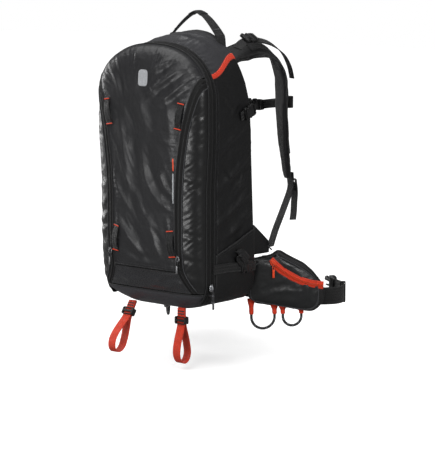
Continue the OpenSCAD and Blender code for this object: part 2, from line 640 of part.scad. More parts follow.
axe_buckle(true);  // axe_buckle_left
axe_buckle(false);  // axe_buckle_right
gas_cylinder();
inflator_head();
piercing_pin();
trigger_cable();
trigger_handle();
airbag_bladder();
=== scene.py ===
"""A rucksack with an airbag, its inflation system, a hip belt and ice axe loops.

It stands upright: z is up, x runs across with "right" at +x, the front panel faces -y and the
back panel, shoulder straps and belt lie at +y. Lengths are millimetres until a mesh is made.
"""
import math

import bmesh
import bpy
import numpy as np
from mathutils import Matrix, Vector
from mathutils.bvhtree import BVHTree


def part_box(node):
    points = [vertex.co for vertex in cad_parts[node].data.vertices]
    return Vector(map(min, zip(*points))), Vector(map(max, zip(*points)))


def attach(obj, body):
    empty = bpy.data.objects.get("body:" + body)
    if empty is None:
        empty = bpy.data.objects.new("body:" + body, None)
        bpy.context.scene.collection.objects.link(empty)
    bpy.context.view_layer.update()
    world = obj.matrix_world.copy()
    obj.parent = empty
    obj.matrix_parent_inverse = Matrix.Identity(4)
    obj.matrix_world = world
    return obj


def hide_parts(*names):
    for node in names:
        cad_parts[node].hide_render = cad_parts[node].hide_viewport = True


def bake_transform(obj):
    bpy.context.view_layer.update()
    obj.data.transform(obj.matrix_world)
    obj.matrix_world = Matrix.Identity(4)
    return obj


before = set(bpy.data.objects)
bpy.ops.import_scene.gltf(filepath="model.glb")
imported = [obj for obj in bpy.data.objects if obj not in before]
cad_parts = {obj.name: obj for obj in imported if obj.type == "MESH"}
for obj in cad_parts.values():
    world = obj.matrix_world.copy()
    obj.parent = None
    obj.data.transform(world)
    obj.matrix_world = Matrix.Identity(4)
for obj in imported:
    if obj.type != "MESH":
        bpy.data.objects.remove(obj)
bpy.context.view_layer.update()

MM = 0.001
SIDES = ((1, "right"), (-1, "left"))

# ------------------------------------------------------------------ driving sizes of the bag

ZIP_Y = -55.0        # plane of the main zip
BACK_Y = 90.0        # plane of the back panel
CORNER_H = 90.0      # height of the rounded bottom corners
CORNER_POWER = 3.4   # superellipse power of those corners
FRONT_POWER = 3.6    # superellipse power of the front panel's plan
EDGE_R = 16.0        # rounding of the edge round the back panel
BULGE = -(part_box("front_panel")[0].y * 1000 - ZIP_Y)
HALF_WIDTH = 136.0
FRONT_FLARE = 6.0    # extra half width of the upper front
BACK_FLARE = 13.0    # extra half width of the lower back
FRONT_TOP = 551.0
BAG_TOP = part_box("hood_panel")[1].z * 1000
ARCH_FRONT, ARCH_BACK = 440, 388      # where the sides turn into the arched top
ARCH_POWER_FRONT, ARCH_POWER_BACK = 2.25, 1.9
TOOL_ZIP_X = 91      # half the distance between the tool pocket's zips
TOOL_ZIP_HALF = 8.3  # half the width of a tool zip, with clearance
PANEL_SPLIT = 90.4   # bottom of the upper front panel
LOWER_STRAP_Z = 92   # height of the lower compression strap

# Stitch sizes: step, length, thread radius
FRONT_STITCH = (3.6, 2.5, 0.3)
SHELL_STITCH = (3.8, 2.7, 0.3)
ZIP_STITCH = (4.0, 2.8, 0.28)
TAPE_STITCH = (3.4, 2.4, 0.26)
BELT_STITCH = (3.4, 2.4, 0.28)
PAD_STITCH = (4.2, 3.0, 0.32)
STRAP_STITCH = (4.0, 2.9, 0.32)

# ------------------------------------------------------------------ noise and blending


def lerp(start, end, share):
    return start + (end - start) * share


def ease(x, start, end):
    """Smooth step from 0 at start to 1 at end."""
    share = np.clip((np.asarray(x, float) - start) / (end - start), 0, 1)
    return share * share * (3 - 2 * share)


def lattice(x, y, z, seed):
    """A repeatable value from 0 to 1 for each whole-numbered point."""
    h = (x * 374761393 + y * 668265263 + z * 2147483647 + seed * 974634777) & 0xFFFFFFFF
    h = ((h ^ (h >> 13)) * 1274126177) & 0xFFFFFFFF
    h = ((h ^ (h >> 16)) * 2246822519) & 0xFFFFFFFF
    return ((h ^ (h >> 15)) & 0xFFFFFF) / float(0xFFFFFF)


def value_noise(x, y, z, seed):
    place = np.broadcast_arrays(*(np.asarray(v, float) for v in (x, y, z)))
    cell = [np.floor(v).astype(np.int64) for v in place]
    blend = []
    for value, whole in zip(place, cell):
        part = value - whole
        blend.append(part * part * part * (part * (6 * part - 15) + 10))
    total = 0
    for a in (0, 1):
        for b in (0, 1):
            for c in (0, 1):
                weight = 1
                for step, share in zip((a, b, c), blend):
                    weight = weight * (share if step else 1 - share)
                total = total + weight * lattice(cell[0] + a, cell[1] + b, cell[2] + c, seed)
    return total * 2 - 1


def noise(x, y, z=0.0, octaves=4, seed=0):
    """Layered noise, about -1 to 1."""
    x, y, z = (np.asarray(v) for v in (x, y, z))
    total, weight, weights, scale = 0, 1.0, 0, 1.0
    for i in range(octaves):
        total = total + weight * value_noise(x * scale, y * scale, z * scale, seed + i * 17)
        weights += weight
        weight *= 0.5
        scale *= 2.03
    return total / weights


def ridged(x, y, seed, octaves):
    """Rounded creases: 1 on the crest, 0 in the flats."""
    total, weight, weights, scale = 0, 1.0, 0, 1.0
    for i in range(octaves):
        layer = np.abs(value_noise(x * scale, y * scale, 0.5, seed + i * 31))
        total = total + weight * (1 - layer * 1.8).clip(0, 1) ** 1.5
        weights += weight
        weight *= 0.5
        scale *= 2.1
    return total / weights


def creases(x, z, angle, along, across, seed, octaves=3):
    """Ridged creases that run at an angle in degrees from +x."""
    c, s = math.cos(math.radians(angle)), math.sin(math.radians(angle))
    a, b = x * c + z * s, -x * s + z * c
    wobble = noise(a / along, b / (across * 2.5), seed=seed + 5, octaves=2) * across * 0.7
    return ridged((b + wobble) / across, a / along, seed, octaves)


# ------------------------------------------------------------------ vectors and paths


def unit(v):
    v = np.asarray(v, float)
    return v / np.maximum(np.linalg.norm(v, axis=-1, keepdims=True), 1e-12)


def tangents(path):
    return unit(np.gradient(path, axis=0))


def square_to(widths, along):
    """Unit width directions made square to the path directions."""
    return unit(widths - along * (widths * along).sum(1, keepdims=True))


def grid(x, y, z):
    """Points from coordinates of any matching shapes."""
    return np.stack(np.broadcast_arrays(x, y, z), -1)


def run_of(path):
    """Distance along a path at each of its points."""
    steps = np.linalg.norm(np.diff(path, axis=0), axis=-1)
    return np.concatenate([[0], np.cumsum(steps)])


def spaced(path, count):
    """The same path with evenly spaced points."""
    run = run_of(path)
    stops = np.linspace(0, run[-1], count)
    return np.stack([np.interp(stops, run, column) for column in path.T], -1)


def even_path(path, step):
    return spaced(path, int(run_of(path)[-1] / step) + 1)


def with_mirror(half):
    """A right-hand path continued back down its mirror image."""
    return np.concatenate([half, (half[:-1] * [-1, 1, 1])[::-1]])


def smooth_path(points, count):
    """Catmull-Rom through rows of any width, count steps between rows."""
    rows = np.asarray(points, float)
    last = len(rows) - 1
    out = []
    for i in range(last):
        a, b, c, d = rows[max(0, i - 1)], rows[i], rows[i + 1], rows[min(last, i + 2)]
        for k in range(count):
            t = k / count
            out.append(0.5 * (2 * b + (c - a) * t + (2 * a - 5 * b + 4 * c - d) * t * t
                              + (3 * b - a - 3 * c + d) * t ** 3))
    out.append(rows[-1])
    return np.array(out)


def moving_mean(values, reach):
    width = 2 * reach + 1
    return np.convolve(np.pad(values, reach, "edge"), np.ones(width) / width, "valid")


# ------------------------------------------------------------------ shape of the bag


def round_off(share, power):
    """Falls from 1 to 0 along a superellipse as share goes from 0 to 1."""
    return np.clip(1 - np.clip(share, 0, 1) ** power, 0, 1) ** (1 / power)


def depth_share(y):
    return np.clip((np.asarray(y, float) - ZIP_Y) / (BACK_Y - ZIP_Y), 0, 1)


def half_width(y, z):
    front = HALF_WIDTH + FRONT_FLARE * ease(z, 240, 380)
    taper = np.clip((np.asarray(z, float) - 100) / 340, 0, 1)
    return lerp(front, HALF_WIDTH + BACK_FLARE - BACK_FLARE * taper, depth_share(y))


def arch_z(y):
    return lerp(ARCH_FRONT, ARCH_BACK, depth_share(y))


def arch_power(y):
    return lerp(ARCH_POWER_FRONT, ARCH_POWER_BACK, depth_share(y))


def top_z(y):
    return lerp(FRONT_TOP, BAG_TOP, ease(y, ZIP_Y - 20, BACK_Y - 20))


def edge_inset(y):
    """How far the rounded back edge draws the outline in."""
    y = np.asarray(y, float)
    drop = np.sqrt(np.clip(EDGE_R ** 2 - (y - BACK_Y + EDGE_R) ** 2, 0, None))
    return np.where(y < BACK_Y - EDGE_R, 0, EDGE_R - drop)


def outline(y, q, inset=0.0):
    """Right half of the section at y: q 0 to 1 is the bottom, to 2 the side, to 3 the arch."""
    y, q, inset = np.broadcast_arrays(*(np.asarray(v, float) for v in (y, q, inset)))
    margin = inset + edge_inset(y)
    arch = arch_z(y)
    turn_in = np.radians(90 * (1 - np.clip(q, 0, 1)))
    x_low = np.clip(np.cos(turn_in), 0, 1) ** (2 / CORNER_POWER)
    x_low = (half_width(y, CORNER_H) - margin) * x_low
    z_low = np.clip(np.sin(turn_in), 0, 1) ** (2 / CORNER_POWER)
    z_low = CORNER_H - (CORNER_H - margin) * z_low
    z_low = margin + np.clip(z_low - margin - 2 * (1 - q), 0, None)
    z_side = lerp(CORNER_H, arch, q - 1)
    x_side = half_width(y, z_side) - margin
    turn_up = np.radians(90 * np.clip(q - 2, 0, 1))
    power = 2 / arch_power(y)
    x_top = (half_width(y, arch) - margin) * np.clip(np.cos(turn_up), 0, 1) ** power
    z_top = arch + (top_z(y) - margin - arch) * np.clip(np.sin(turn_up), 0, 1) ** power
    x = np.where(q < 1, x_low, np.where(q < 2, x_side, x_top))
    z = np.where(q < 1, z_low, np.where(q < 2, z_side, z_top))
    return np.stack([x, y, z], -1)


def side_x(y, z):
    """Half width of the shell at one place, back edge rounding included."""
    arch, margin = float(arch_z(y)), float(edge_inset(y))
    width = float(half_width(y, min(z, arch))) - margin
    rise = (z - arch) / (float(top_z(y)) - margin - arch)
    return width * float(round_off(rise, float(arch_power(y))))


def front_x(z):
    """Half width in the plane of the main zip."""
    z = np.asarray(z, float)
    rise = (z - ARCH_FRONT) / (FRONT_TOP - ARCH_FRONT)
    top = (HALF_WIDTH + FRONT_FLARE) * round_off(rise, ARCH_POWER_FRONT)
    low = half_width(ZIP_Y, CORNER_H) * round_off((CORNER_H - z) / CORNER_H, CORNER_POWER)
    return np.where(z >= ARCH_FRONT, top,
                    np.where(z >= CORNER_H, half_width(ZIP_Y, z), low))


def front_depth(z):
    """How far the front stands out from the main zip."""
    z = np.asarray(z, float)
    upper = round_off((z - 330) / (FRONT_TOP - 330), 4)
    return BULGE * upper * (1 - 0.42 * np.clip((150 - z) / 112, 0, 1) ** 2)


def front_y(x, z):
    share = np.abs(x) / np.maximum(1, front_x(z))
    return ZIP_Y - front_depth(z) * round_off(share, FRONT_POWER)


def tool_x(z):
    """Distance of a tool zip from the middle: it spreads at the top and at the bottom."""
    z = np.asarray(z, float)
    upper = 41 * np.clip((z - 200) / 270, 0, None) ** 2.3
    return TOOL_ZIP_X + upper + 25 * np.clip((100 - z) / 55, 0, None) ** 1.6


# ------------------------------------------------------------------ mesh building


def link(obj):
    bpy.context.scene.collection.objects.link(obj)
    return obj


def new_mesh(name, verts, faces, uvs=None):
    """A smooth mesh object; verts in metres, one uv for each vertex."""
    mesh = bpy.data.meshes.new(name)
    mesh.from_pydata([tuple(v) for v in np.asarray(verts)], [],
                     [tuple(int(i) for i in face) for face in faces])
    if uvs is not None:
        layer = mesh.uv_layers.new(name="UVMap")
        corners = np.zeros(len(mesh.loops), np.int32)
        mesh.loops.foreach_get("vertex_index", corners)
        layer.data.foreach_set("uv", np.asarray(uvs, np.float32)[corners].ravel())
    shade_smooth(mesh)
    mesh.update()
    return link(bpy.data.objects.new(name, mesh))


def shade_smooth(mesh):
    mesh.polygons.foreach_set("use_smooth", [True] * len(mesh.polygons))


def normals_of(points):
    return unit(np.cross(np.gradient(points, axis=1), np.gradient(points, axis=0)))


def push(points, distance):
    """Moves a grid of points along its own normals."""
    return points + normals_of(points) * distance[..., None]


def arc_uv(points):
    """Lengths over a grid, measured from its middle column."""
    middle = points.shape[1] // 2
    v = run_of(points[:, middle])
    steps = np.linalg.norm(np.diff(points, axis=1), axis=-1)
    u = np.concatenate([np.zeros((points.shape[0], 1)), np.cumsum(steps, 1)], 1)
    return grid(u - u[:, middle:middle + 1], v[:, None], 0)[..., :2]


def shell(name, points, thick, flip=False):
    """A closed sheet: points is the outer grid, and the thickness goes inwards."""
    points = np.asarray(points, float)
    rows, columns = points.shape[:2]
    normals = normals_of(points) * (-1 if flip else 1)
    uv = arc_uv(points).reshape(-1, 2)
    inside = points - normals * thick
    verts = np.concatenate([points.reshape(-1, 3), inside.reshape(-1, 3)]) * MM
    count = rows * columns
    index = np.arange(count).reshape(rows, columns)
    outer = np.stack([index[:-1, :-1], index[:-1, 1:], index[1:, 1:], index[1:, :-1]], -1)
    outer = outer.reshape(-1, 4)
    if flip:
        outer = outer[:, ::-1]
    faces = [outer, outer[:, ::-1] + count]
    for line, reverse in ((index[0], False), (index[-1], True),
                          (index[:, 0], True), (index[:, -1], False)):
        a, b = line[:-1], line[1:]
        rim = np.stack([b, a, a + count, b + count], -1)
        faces.append(rim[:, ::-1] if reverse != flip else rim)
    return new_mesh(name, verts, np.concatenate(faces), np.concatenate([uv, uv]) * MM)


def frames_along(path):
    """Two directions square to a path that turn as little as possible."""
    along = tangents(path)
    across = np.zeros_like(along)
    a = unit(np.cross(along[0], [0.13, 0.21, 0.97]))
    for i in range(len(path)):
        a = unit(a - along[i] * a.dot(along[i]))
        across[i] = a
    return across, np.cross(along, across)


def tube_faces(count, sides, closed=False):
    """Faces over count rings of points; the ends are capped unless the tube is closed."""
    faces = []
    for i in range(count if closed else count - 1):
        a, b = i * sides, (i + 1) % count * sides
        faces += [[a + j, a + (j + 1) % sides, b + (j + 1) % sides, b + j]
                  for j in range(sides)]
    if not closed:
        faces.append(list(range(sides))[::-1])
        faces.append([(count - 1) * sides + j for j in range(sides)])
    return faces


def sweep(name, path, profile, across=None, out=None, scale=None, closed=False,
          around=False):
    """Sweeps a closed profile along a path.

    Profile columns lie in the across and out directions. U is the length around the profile
    if around is set, and otherwise the place across it.
    """
    path, profile = np.asarray(path, float), np.asarray(profile, float)
    if across is None:
        across, out = frames_along(path)
    sides, count = len(profile), len(path)
    scale = np.ones(count) if scale is None else scale
    section = profile[None, :, 0:1] * across[:, None, :] + profile[None, :, 1:2] * out[:, None, :]
    points = path[:, None, :] + section * scale[:, None, None]
    u = run_of(profile) if around else profile[:, 0]
    uv = grid(u[None], run_of(path)[:, None], 0)[..., :2]
    return new_mesh(name, points.reshape(-1, 3) * MM, tube_faces(count, sides, closed),
                    uv.reshape(-1, 2) * MM)


def circle(radius, sides):
    angle = np.arange(sides) * 2 * np.pi / sides
    return np.stack([np.cos(angle) * radius, np.sin(angle) * radius], -1)


def rope(name, path, radius, sides=8, closed=False):
    return sweep(name, path, circle(radius, sides), closed=closed, around=True)


def strap_profile(width, thick):
    """Flat webbing section with round selvedges and four points across each face."""
    radius = thick / 2
    half = width / 2 - radius
    points = []
    for sign in (1, -1):
        for i in range(4):
            angle = math.radians(-90 * sign + 60 * i)
            points.append((sign * half + radius * math.cos(angle), radius * math.sin(angle)))
        points += [(lerp(sign * half, -sign * half, (i + 1) / 5), sign * radius)
                   for i in range(4)]
    return points


def flat_strap(name, path, widths, width, thick):
    along = tangents(path)
    across = square_to(widths, along)
    return sweep(name, path, strap_profile(width, thick), across, np.cross(along, across))


def webbing(name, centres, across, width, thick, count):
    """A strap through centres; across is one width direction, or one for each centre."""
    centres = np.asarray(centres, float)
    across = np.broadcast_to(np.asarray(across, float), centres.shape)
    path = smooth_path(np.hstack([centres, across]), count)
    return flat_strap(name, path[:, :3], path[:, 3:], width, thick)


def join(name, objects):
    bpy.ops.object.select_all(action="DESELECT")
    for obj in objects:
        obj.select_set(True)
    bpy.context.view_layer.objects.active = objects[0]
    bpy.ops.object.join()
    joined = bpy.context.view_layer.objects.active
    joined.name = name
    joined.data.name = name
    return joined


def bake(obj):
    """Applies every modifier."""
    depsgraph = bpy.context.evaluated_depsgraph_get()
    mesh = bpy.data.meshes.new_from_object(obj.evaluated_get(depsgraph))
    obj.modifiers.clear()
    obj.data = mesh
    return obj


def bevel(obj, width, segments):
    modifier = obj.modifiers.new("b", "BEVEL")
    modifier.width = width * MM
    modifier.segments = segments
    return modifier


def rbox(name, low, high, radius, segments=2):
    """A box with rounded edges, from corner to corner."""
    low, high = np.array(low, float) * MM, np.array(high, float) * MM
    verts = [(x, y, z) for x in (low[0], high[0]) for y in (low[1], high[1])
             for z in (low[2], high[2])]
    faces = [(0, 1, 3, 2), (4, 6, 7, 5), (0, 4, 5, 1), (2, 3, 7, 6), (0, 2, 6, 4), (1, 5, 7, 3)]
    obj = new_mesh(name, verts, faces)
    bevel(obj, radius, segments).limit_method = "NONE"
    return bake(obj)


def plate(name, points, thick, y=0.0, radius=0.8, segments=2, holes=()):
    """A flat plate in x and z with rounded edges, from y to y + thick."""
    bm = bmesh.new()
    edges = []
    for loop in [points, *holes]:
        verts = [bm.verts.new((x * MM, 0, z * MM)) for x, z in loop]
        edges += [bm.edges.new((verts[i], verts[(i + 1) % len(verts)]))
                  for i in range(len(verts))]
    bmesh.ops.triangle_fill(bm, use_beauty=True, edges=edges, normal=(0, -1, 0))
    bmesh.ops.dissolve_limit(bm, angle_limit=0.01, verts=bm.verts[:], edges=bm.edges[:])
    region = bmesh.ops.extrude_face_region(bm, geom=bm.faces[:])
    for item in region["geom"]:
        if isinstance(item, bmesh.types.BMVert):
            item.co.y += thick * MM
    bmesh.ops.recalc_face_normals(bm, faces=bm.faces[:])
    mesh = bpy.data.meshes.new(name)
    bm.to_mesh(mesh)
    bm.free()
    obj = link(bpy.data.objects.new(name, mesh))
    modifier = bevel(obj, radius, segments)
    modifier.limit_method = "ANGLE"
    modifier.angle_limit = math.radians(40)
    bake(obj)
    shade_smooth(obj.data)
    return shift(obj, 0, y, 0)


def rounded_rect(width, height, radius, x=0, z=0):
    out = []
    for sx, sz, start in ((1, 1, 0), (-1, 1, 90), (-1, -1, 180), (1, -1, 270)):
        for i in range(6):
            angle = math.radians(start + 90 * i / 5)
            out.append((x + sx * (width / 2 - radius) + radius * math.cos(angle),
                        z + sz * (height / 2 - radius) + radius * math.sin(angle)))
    return out


def shrink(points, distance):
    """A polygon moved inwards."""
    p = np.asarray(points, float)
    before, after = np.roll(p, 1, 0), np.roll(p, -1, 0)
    area = 0.5 * (p[:, 0] * after[:, 1] - after[:, 0] * p[:, 1]).sum()
    edge_in, edge_out = unit(p - before), unit(after - p)
    first = np.stack([-edge_in[:, 1], edge_in[:, 0]], -1)
    second = np.stack([-edge_out[:, 1], edge_out[:, 0]], -1)
    normal = unit(first + second)
    mitre = 1 / np.maximum((normal * first).sum(1, keepdims=True), 0.5)
    return p + normal * mitre * distance * (1 if area > 0 else -1)


def round_poly(points, radius, count=5):
    """A polygon with its corners rounded."""
    p = np.asarray(points, float)
    out = []
    for i in range(len(p)):
        before, corner, after = p[i - 1], p[i], p[(i + 1) % len(p)]
        size_in, size_out = np.linalg.norm(before - corner), np.linalg.norm(after - corner)
        reach = min(radius, size_in * 0.45, size_out * 0.45)
        start = corner + (before - corner) / size_in * reach
        end = corner + (after - corner) / size_out * reach
        for j in range(count + 1):
            t = j / count
            out.append((1 - t) ** 2 * start + 2 * t * (1 - t) * corner + t * t * end)
    return np.array(out)


def ring(points, inset, radius, y, step, sign=1, closed=True):
    """An even path round a polygon, in the plane at y."""
    corners = round_poly(shrink(points, inset), radius, 8)
    if closed:
        corners = np.concatenate([corners, corners[:1]])
    return even_path(grid(corners[:, 0] * sign, y, corners[:, 1]), step)


def place(obj, matrix):
    obj.data.transform(matrix)
    obj.data.update()
    return obj


def shift(obj, x, y, z):
    return place(obj, Matrix.Translation((x * MM, y * MM, z * MM)))


def turn(obj, degrees, axis):
    return place(obj, Matrix.Rotation(math.radians(degrees), 4, axis))


def frame_matrix(origin, *axes):
    rows = [[axis[k] for axis in axes] + [origin[k] * MM] for k in range(3)]
    return Matrix(rows + [[0, 0, 0, 1]])


def orient(obj, origin, *axes):
    """Moves a piece so that its own x, y and z point along the three axes."""
    return place(obj, frame_matrix(origin, *(unit(axis) for axis in axes)))


def mirror(obj):
    obj.data.transform(Matrix.Diagonal((-1, 1, 1, 1)))
    obj.data.flip_normals()
    return obj


def rig(obj, body, material, *stands, slot=None):
    """Gives a piece its body, material and the CAD pieces it stands for; slot is not used."""
    if not obj.data.materials:
        obj.data.materials.append(MAT[material])
    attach(obj, body)
    if stands:
        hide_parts(*stands)
    return obj


def pair(obj, body, material, *stands, slot=None):
    """Rigs a right-hand piece and its mirrored copy."""
    left = link(bpy.data.objects.new(obj.name.replace("right", "left"), obj.data.copy()))
    mirror(left)
    rig(obj, body, material, *stands, slot=slot)
    rig(left, body.replace("right", "left"), material,
        *(s.replace("right", "left") for s in stands if "right" in s), slot=slot)
    return obj, left


def trim(name, path, radius, body, material="binding", sides=8, closed=False):
    return rig(rope(name, path, radius, sides, closed), body, material)


def stitches(name, path, normals, size):
    """A row of thread stitches along a path that lies on a surface."""
    step, length, radius = size
    run = run_of(path)
    angle = np.arange(5) * 2 * np.pi / 5
    cos, sin = np.cos(angle)[:, None], np.sin(angle)[:, None]
    lift = 0.15 + radius * np.array([-0.9, 0.25, 0.25, -0.9])
    radii = radius * np.array([0.55, 1, 1, 0.55])[:, None, None]
    verts, faces = [], []
    for i in range(int(run[-1] // step)):
        stops = np.linspace(i * step + 0.4, i * step + 0.4 + length, 4)
        points, normal = (np.stack([np.interp(stops, run, v[:, k]) for k in range(3)], -1)
                          for v in (path, normals))
        normal = unit(normal)
        points = points + normal * lift[:, None]
        across = unit(np.cross(unit(points[-1] - points[0]), normal))
        verts.append(points[:, None] + radii * (across[:, None] * cos + normal[:, None] * sin))
        faces += [[20 * i + k for k in face] for face in tube_faces(4, 5)]
    return new_mesh(name, np.array(verts).reshape(-1, 3) * MM, faces)


def seam(name, path, normals, size, body, material="thread"):
    return rig(stitches(name, path, normals, size), body, material)


def tack(name, centre, along, normal, width, height=2.6, thick=0.9):
    """A bar tack: dense zigzag thread on a surface."""
    along, normal = unit(along), unit(normal)
    normal = unit(normal - along * normal.dot(along))
    up = np.cross(normal, along)
    u = np.linspace(-width / 2, width / 2, max(6, int(width / 1.1)) * 4 + 1)
    v = np.linspace(-height / 2, height / 2, 5)[:, None]
    relief = (0.55 + 0.45 * np.cos(2 * np.pi * (u[None] + 0.25 * v) / 1.1)) * thick
    relief = relief * (1 - (np.abs(v) / (height / 2)) ** 6 * 0.8)
    points = (np.asarray(centre)[None, None] + along * u[None, :, None] + up * v[..., None]
              + normal * relief[..., None])
    return shell(name, points, thick * 1.3)


# ------------------------------------------------------------------ materials


def srgb(code):
    values = [int(code[i:i + 2], 16) / 255 for i in (0, 2, 4)]
    return [c / 12.92 if c <= 0.04045 else ((c + 0.055) / 1.055) ** 2.4 for c in values] + [1.0]


class Shader:
    """A small builder for node materials; textures are scaled in metres."""

    def __init__(self, name):
        self.material = bpy.data.materials.new(name)
        self.material.use_nodes = True
        self.tree = self.material.node_tree
        self.tree.nodes.clear()
        self.output = self.add("ShaderNodeOutputMaterial")
        self.surface = self.add("ShaderNodeBsdfPrincipled")
        self.put(self.output, 0, self.surface.outputs[0])
        self.normal = None

    def add(self, kind, inputs=None, **settings):
        node = self.tree.nodes.new(kind)
        for key, value in settings.items():
            setattr(node, key, value)
        for key, value in (inputs or {}).items():
            self.put(node, key, value)
        return node

    def put(self, node, key, value):
        if isinstance(value, bpy.types.NodeSocket):
            self.tree.links.new(value, node.inputs[key])
        else:
            node.inputs[key].default_value = value

    def math(self, operation, *values, clamp=False):
        return self.add("ShaderNodeMath", dict(enumerate(values)), operation=operation,
                        use_clamp=clamp).outputs[0]

    def times(self, first, *rest):
        for value in rest:
            first = self.math("MULTIPLY", first, value)
        return first

    def plus(self, a, b, clamp=False):
        return self.math("ADD", a, b, clamp=clamp)

    def wave(self, value, pitch):
        return self.math("SINE", self.times(value, 2 * math.pi / pitch))

    def coord(self, kind="UV"):
        return self.add("ShaderNodeTexCoord").outputs[kind]

    def xyz(self, vector):
        return self.add("ShaderNodeSeparateXYZ", {0: vector}).outputs

    def uv_mm(self, coord):
        axes = self.xyz(coord)
        return self.times(axes[0], 1000), self.times(axes[1], 1000)

    def mapped(self, vector, scale):
        return self.add("ShaderNodeMapping", {"Vector": vector, "Scale": scale}).outputs[0]

    def noise(self, vector, scale=1.0, detail=3.0, rough=0.5):
        return self.add("ShaderNodeTexNoise", {
            "Vector": vector, "Scale": scale, "Detail": detail, "Roughness": rough}).outputs[0]

    def ramp(self, value, low, high, start=0.0, end=1.0):
        """Maps low..high to start..end."""
        return self.add("ShaderNodeMapRange",
                        {0: value, 1: low, 2: high, 3: start, 4: end}).outputs[0]

    def spread(self, value, start, end):
        """Maps the useful middle of a noise to start..end."""
        return self.ramp(value, 0.3, 0.7, start, end)

    def mix(self, share, a, b):
        return self.add("ShaderNodeMix", {0: share, 6: a, 7: b}, data_type="RGBA").outputs[2]

    def tint(self, color, value):
        return self.add("ShaderNodeVectorMath", {0: color[:3], 3: value},
                        operation="SCALE").outputs[0]

    def bump(self, height, strength, depth):
        """Adds relief on top of the relief so far."""
        node = self.add("ShaderNodeBump",
                        {"Strength": strength, "Distance": depth, "Height": height})
        if self.normal:
            self.put(node, "Normal", self.normal)
        self.normal = node.outputs[0]

    def edges(self, low, high):
        """1 on worn outer edges."""
        pointiness = self.add("ShaderNodeNewGeometry").outputs["Pointiness"]
        return self.ramp(pointiness, low, high)

    def finish(self, base, rough, metal=0.0, sheen=0.0, coat=0.0, coat_rough=0.2, spec=0.5,
               aniso=0.0):
        values = {"Base Color": base, "Roughness": rough, "Metallic": metal,
                  "Specular IOR Level": spec, "Sheen Weight": sheen, "Sheen Roughness": 0.4,
                  "Coat Weight": coat, "Coat Roughness": coat_rough, "Anisotropic": aniso}
        for key, value in values.items():
            self.put(self.surface, key, value)
        if self.normal:
            self.put(self.surface, "Normal", self.normal)
        return self.material


def ripstop(name, code, rough, spec=0.5, coat=0.0, dash=0.35, grid=4.6, vary=0.18, bump=0.35,
            crush=0.5, uv=True):
    """Coated cloth with a ripstop grid in mm, dashes of yarn and crushed highlights."""
    m = Shader(name)
    coord = m.coord("UV" if uv else "Object")
    axes = m.xyz(coord)
    u, v = m.times(axes[0], 1000), m.times(axes[1 if uv else 2], 1000)
    weave = m.times(m.wave(u, 0.9), m.wave(v, 0.9))

    def rib(value, pitch, power):
        wave = m.math("COSINE", m.times(value, math.pi / pitch))
        return m.math("POWER", m.math("ABSOLUTE", wave), power)

    grid_lines = m.math("MAXIMUM", m.times(rib(u, grid, 40), 0.55), rib(v, grid * 0.72, 26))
    yarn = m.noise(m.mapped(coord, (210, 1500, 1) if uv else (210, 210, 1500)),
                   detail=2, rough=0.6)
    streaks = m.noise(m.mapped(coord, (36, 160, 1) if uv else (36, 36, 160)), rough=0.6)
    clouds = m.noise(coord, scale=9, detail=4, rough=0.55)
    grain = m.noise(coord, scale=320, rough=0.6)
    dashes = m.ramp(yarn, 0.42, 0.66)
    tone = m.plus(m.ramp(dashes, 0, 1, 1 - dash * 0.55, 1 + dash),
                  m.times(grid_lines, dash * 0.5))
    tone = m.times(tone, m.spread(clouds, 1 - vary, 1 + vary), m.spread(streaks, 0.92, 1.09))
    wear = m.times(m.edges(0.515, 0.60), 0.25)
    color = m.mix(wear, m.tint(srgb(code), tone), [0.16, 0.16, 0.165, 1])
    roughness = m.plus(m.spread(grain, rough - 0.05, rough + 0.07),
                       m.times(m.ramp(dashes, 0, 1, 0.06, -0.09), crush), clamp=True)
    m.bump(m.plus(m.times(weave, 0.35), grid_lines), strength=bump, depth=0.00012)
    m.bump(yarn, strength=bump * 0.8, depth=0.00022)
    m.bump(m.noise(coord, scale=120, detail=4, rough=0.65), strength=0.25, depth=0.0006)
    return m.finish(color, roughness, spec=spec, coat=coat, coat_rough=0.28)


def plainweave(name, code, rough=0.75, pitch=0.9, sheen=0.25, bump=0.5, vary=0.15, spec=0.35,
               uv=True, twill=False):
    """Woven pack cloth or binding tape; pitch of the yarn in mm."""
    m = Shader(name)
    coord = m.coord("UV" if uv else "Object")
    if uv:
        a, b = m.uv_mm(coord)
    else:
        axes = m.xyz(coord)
        a = m.times(m.plus(axes[0], m.times(axes[1], 0.83)), 1000)
        b = m.times(m.plus(axes[2], m.times(axes[1], 0.31)), 1000)
    if twill:
        weave = m.wave(m.plus(a, b), pitch * 2)
    else:
        weave = m.times(m.wave(a, pitch), m.wave(b, pitch))
    clouds = m.noise(coord, scale=14, detail=4, rough=0.6)
    grain = m.noise(coord, scale=700, detail=2, rough=0.6)
    tone = m.times(m.ramp(weave, -1, 1, 0.72, 1.22), m.spread(clouds, 1 - vary, 1 + vary),
                   m.spread(grain, 0.88, 1.14))
    wear = m.times(m.edges(0.52, 0.62), 0.18)
    color = m.mix(wear, m.tint(srgb(code), tone), [0.14, 0.14, 0.145, 1])
    m.bump(weave, strength=bump, depth=0.00016)
    m.bump(m.noise(coord, scale=160, detail=4, rough=0.7), strength=0.3, depth=0.0004)
    return m.finish(color, m.spread(grain, rough - 0.06, rough + 0.08), spec=spec, sheen=sheen)


